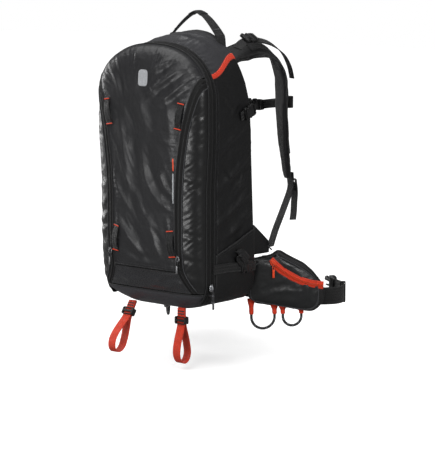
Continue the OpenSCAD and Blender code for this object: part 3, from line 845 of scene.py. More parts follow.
def webbing_cloth(name, code, rough, sheen, spec=0.45):
    """Woven webbing with herringbone ribs, 2 mm apart."""
    m = Shader(name)
    coord = m.coord()
    u, v = m.uv_mm(coord)
    zigzag = m.math("PINGPONG", u, 3.1)
    ribs = m.wave(m.plus(v, m.times(zigzag, 0.9)), 2.0)
    yarn = m.wave(u, 0.75)
    clouds = m.noise(coord, scale=60, detail=4, rough=0.6)
    grain = m.noise(m.mapped(coord, (900, 260, 1)), detail=2, rough=0.6)
    tone = m.times(m.ramp(ribs, -1, 1, 0.62, 1.28), m.spread(clouds, 0.86, 1.14),
                   m.spread(grain, 0.85, 1.15))
    m.bump(ribs, strength=0.7, depth=0.00035)
    m.bump(m.times(yarn, ribs), strength=0.5, depth=0.0001)
    return m.finish(m.tint(srgb(code), tone), m.spread(grain, rough - 0.08, rough + 0.1),
                    spec=spec, sheen=sheen)


def spacer_mesh(name, code):
    """Padded mesh: dark holes 2.1 mm apart between lighter threads."""
    m = Shader(name)
    coord = m.coord("Object")
    cells = m.add("ShaderNodeTexVoronoi", {"Vector": m.mapped(coord, (1, 0.9, 0.8)),
                                           "Scale": 1000 / 2.1}, feature="F1")
    hole = m.ramp(cells.outputs["Distance"], 0.22, 0.5)
    clouds = m.noise(coord, scale=16, detail=4, rough=0.6)
    tone = m.times(m.ramp(hole, 0, 1, 0.35, 1.25), m.spread(clouds, 0.82, 1.18))
    m.bump(hole, strength=0.75, depth=0.0005)
    m.bump(m.noise(coord, scale=420, detail=2, rough=0.6), strength=0.3, depth=0.0002)
    return m.finish(m.tint(srgb(code), tone), rough=0.8, spec=0.3, sheen=0.35)


def moulded(name, code, rough, grain=0.5, wear=0.35):
    """Moulded plastic: fine grain, soft flow marks, edges rubbed shiny."""
    m = Shader(name)
    base = srgb(code)
    coord = m.coord("Object")
    speckle = m.noise(coord, scale=1900, detail=2, rough=0.6)
    flow = m.noise(m.mapped(coord, (30, 30, 90)), detail=4, rough=0.6)
    edges = m.edges(0.51, 0.60)
    color = m.mix(m.times(edges, wear), m.tint(base, m.spread(flow, 0.85, 1.15)),
                  [c * 2.2 + 0.03 for c in base[:3]] + [1])
    roughness = m.math("SUBTRACT", m.spread(speckle, rough - 0.06, rough + 0.1),
                       m.times(edges, 0.12), clamp=True)
    m.bump(speckle, strength=grain, depth=0.00006)
    return m.finish(color, roughness)


def brushed_metal(name, code, rough, brush=(30, 30, 1400), wear=0.3, aniso=0.4):
    m = Shader(name)
    coord = m.coord("Object")
    lines = m.noise(m.mapped(coord, brush), rough=0.65)
    clouds = m.noise(coord, scale=40, detail=4, rough=0.6)
    color = m.mix(m.times(m.edges(0.51, 0.59), wear),
                  m.tint(srgb(code), m.spread(lines, 0.86, 1.1)), [0.85, 0.85, 0.86, 1])
    roughness = m.plus(m.spread(lines, rough - 0.08, rough + 0.12),
                       m.ramp(clouds, 0.35, 0.65, -0.04, 0.08), clamp=True)
    m.bump(lines, strength=0.25, depth=0.00005)
    return m.finish(color, roughness, metal=1.0, aniso=aniso)


def zip_teeth(name, code):
    """Coil of a zip: ribs along v 1.9 mm apart, staggered on either side of u 0."""
    m = Shader(name)
    pitch = 1.9
    u, v = m.uv_mm(m.coord())
    side = m.math("SIGN", u)
    ribs = m.wave(m.plus(v, m.times(side, pitch * 0.25)), pitch)
    m.bump(ribs, strength=0.9, depth=0.0005)
    return m.finish(m.tint(srgb(code), m.ramp(ribs, -1, 1, 0.55, 1.4)), rough=0.42)


def braid(name, code, fleck):
    """Braided cord with flecks of a second yarn."""
    m = Shader(name)
    pitch = 3.4
    u, v = m.uv_mm(m.coord())
    weave = m.times(m.wave(m.plus(u, v), pitch), m.wave(m.math("SUBTRACT", u, v), pitch))
    flecks = m.math("GREATER_THAN", m.wave(m.plus(u, v), pitch * 4), 0.86)
    color = m.mix(flecks, m.tint(srgb(code), m.ramp(weave, -1, 1, 0.6, 1.35)), srgb(fleck))
    m.bump(weave, strength=0.8, depth=0.0004)
    return m.finish(color, rough=0.62, spec=0.4, sheen=0.3)


def sewing_thread(name, code):
    m = Shader(name)
    fibre = m.noise(m.coord("Object"), scale=1500, detail=2, rough=0.6)
    m.bump(fibre, strength=0.5, depth=0.0001)
    return m.finish(m.tint(srgb(code), m.spread(fibre, 0.7, 1.3)), rough=0.55, spec=0.4,
                    sheen=0.2)


MAT = {
    "front": ripstop("coated_ripstop", "1d1d1f", rough=0.38, spec=0.42, coat=0.12, dash=0.42,
                     vary=0.12, bump=0.3, crush=1.0),
    "gloss": ripstop("glossy_shell", "0d0d0e", rough=0.34, spec=0.42, coat=0.2, dash=0.2,
                     vary=0.15, bump=0.08, crush=0.4),
    "lower": ripstop("lower_shell", "1b1b1e", rough=0.27, spec=0.55, coat=0.2, dash=0.3,
                     vary=0.15, bump=0.25),
    # painted sheen: the hood cloth is a lighter grey than the front so that the top of the bag looks
    # lit
    "hood": ripstop("hood_shell", "333336", rough=0.32, spec=0.55, coat=0.2, dash=0.4,
                    vary=0.12, bump=0.28),
    "matte": plainweave("pack_cloth", "101011", rough=0.5, pitch=1.2, sheen=0.0, bump=0.35,
                        spec=0.33),
    "base": ripstop("base_cloth", "38383c", rough=0.5, spec=0.45, dash=0.3, grid=6, bump=0.45),
    "lining": plainweave("lining_cloth", "37383c", rough=0.6, pitch=0.8, sheen=0.2),
    "tape": plainweave("zip_tape", "080808", rough=0.7, pitch=1.1, sheen=0.0, bump=0.4,
                       spec=0.3),
    "binding": plainweave("binding_tape", "0e0e0f", rough=0.6, sheen=0.06, twill=True),
    "piping": plainweave("piping_cord", "2f3033", rough=0.5, sheen=0.15, twill=True),
    "coil": zip_teeth("zip_coil", "1a1a1b"),
    "coil_red": zip_teeth("zip_coil_orange", "d23c16"),
    "tape_red": plainweave("orange_tape", "d8340f", rough=0.6, sheen=0.15, vary=0.08),
    "web": webbing_cloth("black_webbing", "0e0e0f", rough=0.54, sheen=0.08, spec=0.4),
    "web_red": webbing_cloth("orange_webbing", "d23312", rough=0.6, sheen=0.1),
    "spacer": spacer_mesh("spacer_mesh", "161618"),
    "pad": plainweave("pad_cloth", "0f0f10", rough=0.56, pitch=1.1, sheen=0.08, uv=False,
                      bump=0.45, spec=0.45),
    "padgrey": plainweave("pad_cloth_grey", "303136", rough=0.62, pitch=1.1, sheen=0.2,
                          uv=False, bump=0.45),
    "pocket": ripstop("pocket_shell", "101112", rough=0.36, coat=0.1, dash=0.3, vary=0.15,
                      bump=0.3, uv=False),
    "plastic": moulded("buckle_plastic", "0b0b0c", rough=0.38, wear=0.2),
    "plastic_red": moulded("handle_plastic", "d93f19", rough=0.42, wear=0.15),
    "slider": brushed_metal("slider_metal", "c4c6ca", rough=0.26, aniso=0.2),
    "slider_black": brushed_metal("slider_black", "3a3a3d", rough=0.34, aniso=0.2, wear=0.5),
    "slider_red": moulded("slider_orange", "dd431c", rough=0.36, wear=0.1),
    "alloy": brushed_metal("brushed_alloy", "b4b8bd", rough=0.3, brush=(260, 260, 20)),
    "alloy_dark": brushed_metal("dark_alloy", "5c6065", rough=0.36, brush=(240, 240, 30)),
    "steel": brushed_metal("pin_steel", "d0d2d5", rough=0.18, brush=(800, 800, 30)),
    "cord": braid("black_cord", "1d1d1f", fleck="6d6e72"),
    "cord_red": braid("orange_cord", "db431d", fleck="1a1a1b"),
    "cable": moulded("cable_housing", "202022", rough=0.35, grain=0.3),
    "thread": sewing_thread("thread_black", "303033"),
    "thread_red": sewing_thread("thread_orange", "e0441d"),
    "airbag": ripstop("airbag_nylon", "e2582c", rough=0.42, spec=0.4, dash=0.25, grid=5,
                      uv=False),
    "sheet": moulded("frame_plastic", "151516", rough=0.5),
    "reflect": ripstop("reflective_trim", "a4a6a9", rough=0.35, spec=0.6, dash=0.3, grid=2.2,
                       vary=0.05),
    "reflect_red": ripstop("orange_trim", "dd4a22", rough=0.4, dash=0.3, grid=2.2, vary=0.05),
    "hook": plainweave("hook_tape", "131314", rough=0.9, pitch=1.3, sheen=0.5, bump=0.9),
}

# ------------------------------------------------------------------ folds in cloth


def line_distance(x, z, path):
    """Distance to a polyline, and the place along it from 0 to 1."""
    run = run_of(path)
    best = np.full(x.shape, 1e9)
    sign, at = np.zeros(x.shape), np.zeros(x.shape)
    for i in range(len(path) - 1):
        start, step = path[i], path[i + 1] - path[i]
        size = np.linalg.norm(step)
        dx, dz = x - start[0], z - start[1]
        t = np.clip((dx * step[0] + dz * step[1]) / size ** 2, 0, 1)
        gap = np.hypot(dx - step[0] * t, dz - step[1] * t)
        nearer = gap < best
        best = np.where(nearer, gap, best)
        sign = np.where(nearer, np.sign(step[0] * dz - step[1] * dx), sign)
        at = np.where(nearer, (run[i] + t * size) / run[-1], at)
    return best * sign, at


def fold(x, z, path, height, width):
    """One soft fold: a ridge with a steeper side and a shallow trough beside it."""
    d, at = line_distance(x, z, smooth_path(path, 6))
    fade = np.clip(np.sin(np.pi * np.clip(at * 0.94 + 0.03, 0, 1)), 0, 1) ** 0.6
    ridge = (np.exp(-(d / width) ** 2) - 0.55 * np.exp(-((d - width * 1.5) / (width * 1.15)) ** 2)
             + 0.21 * np.exp(-(d / (width * 0.35)) ** 2))
    return height * ridge * fade


def folds(x, z, table):
    return sum(fold(x, z, path, height, width) for path, height, width in table)


# ------------------------------------------------------------------ front panel


def front_surface(heights, starts, ends, count):
    """Rows of the front surface, each evenly spaced between two x values."""
    power = FRONT_POWER / 2
    rows = []
    for z, start, end in zip(heights, starts, ends):
        half, depth = max(1.0, float(front_x(z))), float(front_depth(z))
        limits = []
        for x in (start, end):
            share = np.clip(x / half, -1, 1)
            limits.append(math.copysign(math.asin(abs(share) ** power), share))
        angle = np.linspace(*limits, 420)
        x = half * np.sign(angle) * np.abs(np.sin(angle)) ** (1 / power)
        y = ZIP_Y - depth * np.clip(np.cos(angle), 0, 1) ** (1 / power)
        rows.append(spaced(grid(x, y, z), count))
    return np.array(rows)


def rim_x(z, lip=9.5):
    """Half width where the front stands a lip's height out from the zip."""
    return front_x(z) * round_off(lip / np.maximum(front_depth(z), lip + 0.2), FRONT_POWER)


_rim_z = np.linspace(40, FRONT_TOP - 0.01, 700)
RIM = np.stack([front_x(_rim_z), _rim_z], -1)
RIM_RUN = run_of(RIM)


def rim_distance(x, z):
    """Distance to the rim, and the signed place along it."""
    points = np.stack([np.abs(x).ravel(), z.ravel()], -1)
    distance, run = np.zeros(len(points)), np.zeros(len(points))
    for i in range(0, len(points), 4000):  # in batches, to save memory
        gaps = np.linalg.norm(points[i:i + 4000, None] - RIM[None], axis=-1)
        distance[i:i + 4000] = gaps.min(1)
        run[i:i + 4000] = RIM_RUN[gaps.argmin(1)]
    return distance.reshape(x.shape), (run * np.sign(points[:, 0] + 1e-9)).reshape(x.shape)


# Folds: points (x, z) along the crest, height, width
FRONT_FOLDS = [
    ([(-4, 344), (3, 295), (22, 255), (46, 230), (71, 218), (86, 215)], 2.6, 11),
    ([(100, 510), (79, 497), (40, 470), (22, 450)], 3.2, 7.5),
    ([(74, 528), (50, 514), (27, 500)], 3.0, 7),
    ([(112, 482), (84, 462), (52, 438)], 2.6, 7),
    ([(-96, 508), (-74, 480), (-60, 446)], 2.2, 7),
    ([(-72, 190), (-36, 151), (-2, 115)], 2.3, 10),
    ([(11, 194), (27, 156), (43, 115)], 2.2, 9),
    ([(25, 375), (54, 362), (84, 348)], 2.0, 9),
    ([(-70, 430), (-48, 330), (-40, 250)], 2.2, 17),
    ([(-84, 300), (-62, 245), (-30, 205)], 1.7, 10),
    ([(40, 300), (58, 262), (84, 244)], 1.5, 8),
    ([(-20, 250), (0, 205), (40, 172)], 1.7, 10),
    ([(50, 470), (66, 420), (74, 360)], 1.6, 13),
    ([(-40, 470), (-6, 430), (10, 380)], 1.4, 14),
    ([(-60, 120), (-20, 104), (40, 102)], 1.6, 7),
    ([(60, 200), (72, 150), (80, 118)], 1.3, 6),
]


def front_relief(points):
    """Folds, creases and puckers of the front panel."""
    x, z = points[..., 0], points[..., 2]
    relief = 2.4 * noise(x / 70 + 3, z / 95, seed=3, octaves=3)
    relief = relief + folds(x, z, FRONT_FOLDS)
    relief = relief + 1.5 * (creases(x, z, -60, 90, 30, seed=11, octaves=2) - 0.35)
    relief = relief + 0.5 * (creases(x, z, -48, 34, 12, seed=23, octaves=2) - 0.3)
    # puckers along the arched seam
    rim, run = rim_distance(x, z)
    crown = ease(z, 425, 480)
    phase = 2 * np.pi * run / 15.5 + 3.2 * noise(run / 34, rim / 60, seed=9, octaves=2)
    relief = relief + (crown * 1.7 * np.sin(phase) * np.exp(-rim / 34)
                       * (0.55 + 0.45 * noise(run / 22, 0.3, seed=4)))
    phase = 2 * np.pi * run / 7.3 + 2 * noise(run / 12, rim / 30, seed=19)
    relief = relief + crown * 0.35 * np.sin(phase) * np.exp(-rim / 13)
    # puckers along the zips
    edge = np.minimum(tool_x(z) - 8, rim_x(z)) - np.abs(x)
    phase = 2 * np.pi * z / 12 + 3 * noise(z / 30, np.sign(x), seed=13, octaves=2)
    relief = relief + (1 - crown) * 1.0 * np.sin(phase) * np.exp(-edge / 11)
    edge = np.minimum(edge, np.where(z > ARCH_FRONT, rim - 1.5, 99))
    return relief * lerp(0.12, 1, ease(edge, 0, 16) * ease(z, 90, 97)) + 0.7


def front_edge(z):
    return np.minimum(tool_x(z) - TOOL_ZIP_HALF, rim_x(z))


def front_heights():
    """Row heights that keep rows about 2.7 mm apart along the steepest line."""
    z = np.linspace(PANEL_SPLIT, FRONT_TOP - 0.12, 6000)
    rise = np.diff(z)
    steps = np.maximum(np.hypot(rise, np.diff(front_edge(z))),
                       np.hypot(rise, np.diff(front_y(0, z))))
    run = np.concatenate([[0], np.cumsum(steps)])
    return np.interp(np.linspace(0, run[-1], int(run[-1] / 2.7) + 1), run, z)


_heights = front_heights()
_edges = front_edge(_heights)
FRONT = front_surface(_heights, -_edges, _edges, 84)
FRONT = push(FRONT, front_relief(FRONT))
FRONT_NORMALS = normals_of(FRONT)
rig(shell("front_panel_fabric", FRONT, 2.0), "front_flap", "front", "front_panel")


def front_at(x, z, lift):
    """A point above the finished front surface at x and z, with the outward direction."""
    i = np.abs(FRONT[:, 42, 2] - z).argmin()
    near = slice(max(0, i - 2), min(len(FRONT), i + 3))
    points, normals = FRONT[near].reshape(-1, 3), FRONT_NORMALS[near].reshape(-1, 3)
    weights = 1 / (0.3 + (points[:, 0] - x) ** 2 + (points[:, 2] - z) ** 2) ** 1.5
    weights /= weights.sum()
    normal = unit((weights[:, None] * normals).sum(0))
    return np.array([x, (weights * points[:, 1]).sum(), z]) + normal * lift, normal


# binding along the panel's edges, and rows of stitching inside it
for sign, side in SIDES:
    column = -1 if sign > 0 else 0
    path = FRONT[:, column] + FRONT_NORMALS[:, column] * 0.3
    trim("front_binding_" + side, path[::2], 1.25, "front_flap")
    for k, inwards in ((0, 2), (1, 4)):
        j = column - inwards * sign
        seam("front_stitch_%d_%s" % (k, side), FRONT[3:-40, j], FRONT_NORMALS[3:-40, j],
             FRONT_STITCH, "front_flap")
trim("front_bottom_binding", FRONT[0] + [0, -0.4, 0.4], 1.3, "front_flap")
seam("front_bottom_stitch", FRONT[2, 2:-2], FRONT_NORMALS[2, 2:-2], FRONT_STITCH, "front_flap")

# ------------------------------------------------------------------ lower front panel

_heights = np.linspace(43.5, 87.4, 19)
_edges = np.minimum(tool_x(_heights) - TOOL_ZIP_HALF, rim_x(_heights, 8))
lower = front_surface(_heights, -_edges, _edges, 84)
x, z = lower[..., 0], lower[..., 2]
relief = 2.0 * noise(x / 46, z / 24, seed=31)
relief = relief + 2.6 * (creases(x, z, 10, 90, 17, seed=41, octaves=1) - 0.4)
relief = relief + folds(x, z, [([(-86, 70), (-30, 62), (50, 72)], 1.6, 6),
                               ([(-20, 50), (30, 56), (90, 52)], 1.2, 5)])
relief = relief * ease(z, 43, 49) * ease(87.5 - z, 0, 5) * ease(_edges[:, None] - np.abs(x), 0, 8)
lower = push(lower, relief + 0.2)
rig(shell("lower_front_fabric", lower, 2.0), "main_flap", "lower", "lower_front_panel")
trim("lower_front_binding", lower[-1] + [0, -0.1, -0.5], 1.2, "main_flap")
seam("lower_front_stitch", lower[-3, 2:-2], normals_of(lower)[-3, 2:-2], FRONT_STITCH,
     "main_flap")

# ------------------------------------------------------------------ gussets between the zips

for sign, side in SIDES:
    heights = np.linspace(43.9, 467, 171)
    start = tool_x(heights) + TOOL_ZIP_HALF
    end = np.maximum(rim_x(heights, 9.0), start + 0.4)
    gusset = front_surface(heights, start, end, 26)
    x, z = gusset[..., 0], gusset[..., 2]
    seed = 0 if sign > 0 else 40
    tilted = z + 0.35 * (x - 110) + 7 * noise(x / 60, z / 45, seed=61 + seed, octaves=2)
    relief = (1.9 * np.sin(2 * np.pi * tilted / 31 + 2.2 * noise(z / 50, 0.4, seed=63 + seed))
              * (0.55 + 0.6 * noise(x / 40, z / 34, seed=65 + seed, octaves=2)))
    tilted = z - 0.8 * (x - 110) + 5 * noise(x / 30, z / 30, seed=71 + seed, octaves=2)
    relief = relief + (0.8 * np.sin(2 * np.pi * tilted / 13.5)
                       * (0.5 + 0.9 * noise(x / 26, z / 24, seed=69 + seed, octaves=2)))
    relief = relief + 1.6 * noise(x / 24, z / 30, seed=73 + seed, octaves=3)
    width = (end - start)[:, None]
    share = np.clip((x - start[:, None]) / np.maximum(width, 1), 0, 1)
    relief = 0.62 * relief * np.clip(np.sin(np.pi * share), 0, 1) ** 0.5
    gusset = push(gusset, relief * ease(width, 3, 22) * ease(z, 43, 54))
    gusset[..., 0] *= sign
    rig(shell("gusset_fabric_" + side, gusset, 1.8, flip=sign < 0), "main_flap", "gloss",
        "gusset_" + side)

# ------------------------------------------------------------------ tool zips

# Section of the tape: place across, height
TOOL_TAPE_ACROSS = np.array([-8.2, -8.0, -7.2, -5.5, -3.4, -2.9, -1.4, -0.45, -0.25,
                             0.25, 0.45, 1.4, 2.9, 3.4, 5.5, 7.2, 8.0, 8.2])
TOOL_TAPE_HEIGHT = np.array([-0.8, 0.6, 0.95, 0.9, 0.95, 1.35, 1.7, 1.5, 0.6,
                             0.6, 1.5, 1.7, 1.35, 0.95, 0.9, 0.95, 0.6, -0.8])
# Section of the coil: place across, height
TOOL_COIL = [(1.5, 0.0), (1.1, 0.5), (0, 0.65), (-1.1, 0.5), (-1.5, 0), (-1.1, -0.4),
             (1.1, -0.4)]
FORWARD = np.array([0, -1.0, 0])

for sign, side in SIDES:
    heights = np.linspace(44.4, 486, 191)
    rows = []
    for z in heights:
        x = np.minimum(tool_x(z) + TOOL_TAPE_ACROSS, front_x(z) * 0.9996)
        outward = unit([0.25 + 0.5 * float(ease(z, 300, 480)), -1, 0.0])
        rows.append(grid(x, front_y(x, z), z) + TOOL_TAPE_HEIGHT[:, None] * outward)
    tape = np.array(rows)
    tape[..., 0] += 0.5 * noise(heights / 30, 0.0, seed=71 if sign > 0 else 73)[:, None]
    tape[..., 0] *= sign
    rig(shell("tool_zip_" + side, tape, 1.3, flip=sign < 0), "main_flap", "tape",
        *(["tool_zips"] if sign > 0 else []))
    path = tape[:, 16] + [0.5 * sign, -0.35, 0]
    trim("tool_zip_piping_" + side, path[2:-6:2], 0.95, "main_flap", "piping")
    path = tape[:, 1] + [-0.3 * sign, -0.3, 0]
    trim("tool_zip_edge_" + side, path[2:-2:2], 0.8, "main_flap")
    path = ((tape[:, 8] + tape[:, 9]) / 2)[::2]
    coil = sweep("tool_zip_coil_" + side, path + [0, -0.35, 0], TOOL_COIL,
                 unit(np.cross(tangents(path), FORWARD)), np.tile(FORWARD, (len(path), 1)))
    rig(coil, "main_flap", "coil")

# ------------------------------------------------------------------ main zip

BAND_Q = np.concatenate([np.linspace(0.56, 1, 24), 1 + np.linspace(0, 1, 110)[1:],
                         2 + np.linspace(0, 1, 90)[1:]])
# Sections of the two halves: y, height above the outline
FLAP_HALF = [(-65.6, -0.8), (-65.4, 0.5), (-64.6, 1.0), (-62.0, 0.95), (-59.5, 1.0),
             (-58.6, 1.5), (-57.0, 1.95), (-55.6, 1.7), (-55.25, 0.4)]
SHELL_HALF = [(-54.75, 0.4), (-54.4, 1.7), (-53.0, 1.95), (-51.4, 1.5), (-50.5, 1.0),
              (-46.0, 1.0), (-43.0, 1.05), (-41.8, 0.7), (-41.5, -0.8)]


def zip_band(section):
    """A band from the bottom right over the top to the bottom left."""
    columns = []
    for y, height in section:
        column = spaced(with_mirror(outline(max(y, ZIP_Y), BAND_Q, -height)), 420)
        column[:, 1] = y
        columns.append(column)
    return np.stack(columns, 1)


flap_band, shell_band = zip_band(FLAP_HALF), zip_band(SHELL_HALF)
rig(shell("main_zip_flap_half", flap_band, 1.3), "main_flap", "tape")
rig(shell("main_zip_shell_half", shell_band, 1.3), "bag", "tape", "main_zip")
trim("main_zip_piping_front", flap_band[3:-3:2, 1] + [0, -0.5, 0], 1.05, "main_flap")
trim("main_zip_piping_back", shell_band[3:-3:2, 7] + [0, 0.5, 0], 0.95, "bag")
trim("main_zip_coil", (flap_band[2:-2:2, 8] + shell_band[2:-2:2, 0]) / 2, 1.5, "bag", "coil")
seam("main_zip_stitch_shell", shell_band[4:-4, 5], normals_of(shell_band)[4:-4, 5], ZIP_STITCH,
     "bag")
seam("main_zip_stitch_flap", flap_band[4:-4, 3], normals_of(flap_band)[4:-4, 3], ZIP_STITCH,
     "main_flap")

# ------------------------------------------------------------------ sides of the shell


def tape_q(y):
    """Place on the outline where the side meets the hood's tape."""
    return lerp(2.24, 2.5, ease(y, ZIP_Y, BACK_Y))


def pocket_z(y):
    """Slanting top edge of the side pocket."""
    return 122 + (y + 33) * 0.37


def upper_strap_z(y):
    return 404 + (y - 52) * 0.32


SIDE_YS = np.concatenate([np.linspace(-42, 70, 44), np.linspace(72, 84, 7),
                          np.linspace(85.2, 88.8, 4)])
# Folds: points (y, z) along the crest, height, width
SIDE_FOLDS = [
    ([(62, 384), (30, 366), (-26, 338)], 3.2, 9), ([(70, 316), (30, 290), (-26, 254)], 3.4, 10),
    ([(78, 248), (28, 218), (-28, 184)], 3.0, 9), ([(20, 424), (4, 434), (-12, 448)], 2.2, 6),
    ([(52, 430), (30, 424), (10, 400)], 1.6, 7), ([(70, 280), (50, 262), (20, 236)], 1.8, 7),
    ([(40, 344), (16, 330), (-10, 318)], 1.8, 6), ([(84, 206), (50, 190), (10, 160)], 2.2, 8),
    ([(-24, 300), (-6, 284), (6, 262)], 1.4, 6), ([(30, 470), (0, 476), (-30, 480)], 1.6, 7),
    ([(60, 180), (20, 166), (-20, 150)], 1.4, 6),
]


def side_relief(points, seed):
    y, z = points[..., 1], points[..., 2]
    relief = 1.8 * noise(y / 45, z / 60, seed=81 + seed) + folds(y, z, SIDE_FOLDS)
    relief = relief + 1.5 * (creases(y, z, 33, 60, 20, seed=91 + seed, octaves=2) - 0.4)
    relief = relief + 0.5 * (creases(y, z, 40, 24, 8, seed=97 + seed, octaves=2) - 0.3)
    lip = ease(y, -42, -34) * ease(BACK_Y - y, 0.5, 14) * ease(z, 20, 60)
    groove_line = -1.6 * np.exp(-((y + 34) / 1.6) ** 2)
    # the compression straps press the cloth in
    press = (np.exp(-((z - upper_strap_z(y)) / 14) ** 2) * ease(y, 30, 56)
             + np.exp(-((z - LOWER_STRAP_Z) / 14) ** 2))
    press = np.clip(press, 0, 1)
    return (relief * lerp(1, 0.25, press) + groove_line) * lip - 1.8 * press * ease(y, -30, 0)


def side_pocket(sign):
    """A second layer over the side, fullest in the middle."""
    columns = []
    for y in np.linspace(-37, 86, 44):
        column = outline(y, np.linspace(0.52, 1.6, 900))
        columns.append(spaced(column[column[:, 2] <= pocket_z(y)], 44))
    points = np.stack(columns, 1)
    y, z = points[..., 1], points[..., 2]
    v = np.linspace(0, 1, 44)[:, None]
    bow = np.sin(np.pi * np.clip((y + 37) / 123, 0, 1))
    relief = 1.2 + 3.2 * bow * np.clip(np.sin(np.pi * v), 0, 1) ** 0.7
    relief = relief + (0.9 * (creases(y, z, 25, 34, 11, seed=103 + sign) - 0.35)
                       + 0.8 * noise(y / 30, z / 22, seed=107 + sign)) * bow
    relief = relief + 1.5 * v ** 6 * bow - 2.4 * np.exp(-((z - LOWER_STRAP_Z) / 11) ** 2)
    relief = np.maximum(relief, 0.7) * ease(y, -37.5, -33) * ease(87 - y, 0, 6)
    return push(points, relief + 0.4)


for sign, side in SIDES:
    panel = np.stack([spaced(outline(y, np.linspace(0.50, float(tape_q(y)) - 0.004, 900)), 186)
                      for y in SIDE_YS], 1)
    below_top = (1 - np.linspace(0, 1, 186)[:, None]) * 500
    panel = push(panel, side_relief(panel, 0 if sign > 0 else 3) * ease(below_top, 1, 14))
    panel[..., 0] *= sign
    rig(shell("side_fabric_" + side, panel, 2.0, flip=sign < 0), "bag", "matte",
        "side_panel_" + side)
    normals = normals_of(panel) * sign
    column = np.abs(SIDE_YS + 36.8).argmin()
    for k, row_name in ((column, "a"), (column + 2, "b")):
        seam("side_stitch_%s_%s" % (row_name, side), panel[20:-2, k], normals[20:-2, k],
             SHELL_STITCH, "bag")
    pocket = side_pocket(sign)
    pocket[..., 0] *= sign
    rig(shell("side_pocket_" + side, pocket, 1.1, flip=sign < 0), "bag", "matte")
    normals = normals_of(pocket) * sign
    trim("side_pocket_binding_" + side, pocket[-1, 1:-1] + normals[-1, 1:-1] * 0.3, 1.7, "bag",
         sides=9)
    seam("side_pocket_stitch_" + side, pocket[-3, 2:-2], normals[-3, 2:-2], SHELL_STITCH, "bag")

# ------------------------------------------------------------------ hood

# Folds: points (x, y) along the crest, height, width
HOOD_FOLDS = [
    ([(-90, -20), (-30, 8), (40, 4), (90, 26)], 2.2, 10),
    ([(-60, 40), (0, 30), (60, 50)], 1.8, 10),
    ([(20, -40), (44, -12), (52, 30)], 1.8, 8),
    ([(-40, -40), (-52, -10), (-50, 20)], 1.5, 8),
]
hood = np.stack([
    spaced(with_mirror(outline(y, np.linspace(float(tape_q(y) + 0.05), 3, 700))), 120)
    for y in SIDE_YS], 1)
across = np.linspace(-1, 1, 120)[:, None] * 190
x, y = hood[..., 0], hood[..., 1]
phase = 2 * np.pi * across / 15 + 3 * noise(across / 32, y / 50, seed=111, octaves=2)
relief = 1.5 * np.sin(phase) * np.exp(-(y + 42) / 20)
relief = relief + 1.8 * noise(across / 50, y / 40, seed=113)
relief = relief + 1.2 * (creases(x, y, 70, 44, 19, seed=117) - 0.4) + folds(x, y, HOOD_FOLDS)
relief = relief * ease(y, -42.5, -38) * ease(89 - y, 0, 12) * ease(190 - np.abs(across), 1, 12)
hood = push(hood, relief)
rig(shell("hood_fabric", hood, 2.0), "bag", "hood", "hood_panel")
normals = normals_of(hood)
for k, row_name in ((2, "a"), (4, "b")):
    seam("hood_stitch_" + row_name, hood[3:-3, k], normals[3:-3, k], SHELL_STITCH, "bag")

# orange tapes beside the hood; section: place along the outline, height
HOOD_TAPE_Q = np.array([-0.006, -0.003, 0.004, 0.022, 0.041, 0.049, 0.052])[:, None]
HOOD_TAPE_HEIGHT = np.array([-0.6, 0.9, 1.5, 1.65, 1.5, 0.9, -0.6])[:, None]
for sign, side in SIDES:
    ys = np.linspace(-41, 84, 60)
    tape = outline(ys[None], tape_q(ys)[None] + HOOD_TAPE_Q, -HOOD_TAPE_HEIGHT)
    tape = tape + 0.25 * noise(ys / 14, 0.2, seed=121)[None, :, None]
    tape[..., 0] *= sign
    rig(shell("hood_tape_" + side, tape, 1.2, flip=sign < 0), "bag", "tape_red",
        *(["hood_tapes"] if sign > 0 else []))
    normals = normals_of(tape) * sign
    for k in (2, 4):
        seam("hood_tape_stitch_%d_%s" % (k, side), tape[k, 1:-1], normals[k, 1:-1],
             TAPE_STITCH, "bag", "thread_red")

# ------------------------------------------------------------------ base: lip in front, floor behind

BASE_Q = np.linspace(-0.74, 0.74, 117)
LIP_Y = -32.0   # where the floor turns up into the lip
LIP_TOP = 38.0


def base_row(y):
    row = outline(y, np.abs(BASE_Q), 2)
    row[:, 0] *= np.where(BASE_Q < 0, -1, 1)
    return row


rows = []
low_row = base_row(LIP_Y)
lip_x = low_row[:, 0] * 1.04
lip_depth = front_y(lip_x, LIP_TOP + 2) + 1.2 - LIP_Y
for degrees in np.linspace(90, 0, 22):
    cos, sin = max(0.0, math.cos(math.radians(degrees))), math.sin(math.radians(degrees))
    rows.append(grid(lerp(low_row[:, 0], lip_x, degrees / 90), LIP_Y + lip_depth * sin ** 1.25,
                     LIP_TOP + 2.2 - (LIP_TOP + 2.2 - low_row[:, 2]) * cos ** 1.25))
rows += [base_row(y) for y in np.linspace(LIP_Y, 88, 34)[1:]]
floor_cloth = np.array(rows)
normals = normals_of(floor_cloth)
x, y = floor_cloth[..., 0], floor_cloth[..., 1]
relief = 0.9 * noise(x / 30, y / 26, seed=131) + 0.8 * (creases(x, y, 10, 50, 14, seed=133) - 0.4)
relief = relief * ease(np.arange(len(rows))[:, None], 0, 5) * ease(140 - np.abs(x), 0, 16)
relief = np.where((np.abs(x) < 66) & (y > -36), np.minimum(relief, 0.4), relief)
floor_cloth = floor_cloth - normals * (relief + 0.6)[..., None] * 0.9
floor_cloth[..., 2] = np.maximum(floor_cloth[..., 2], 0.25)
rig(shell("base_fabric", floor_cloth, 2.0, flip=True), "bag", "base", "base_panel")
trim("base_piping", floor_cloth[0, 2:-2] + [0, -0.6, 0.6], 1.5, "bag", sides=9)
seam("base_stitch", floor_cloth[3, 2:-2], -normals[3, 2:-2], SHELL_STITCH, "bag")

# ------------------------------------------------------------------ padding


def coords(mesh):
    values = np.zeros(len(mesh.vertices) * 3)
    mesh.vertices.foreach_get("co", values)
    return values.reshape(-1, 3)


def set_coords(obj, points):
    obj.data.vertices.foreach_set("co", points.ravel())
    obj.data.update()
    return obj


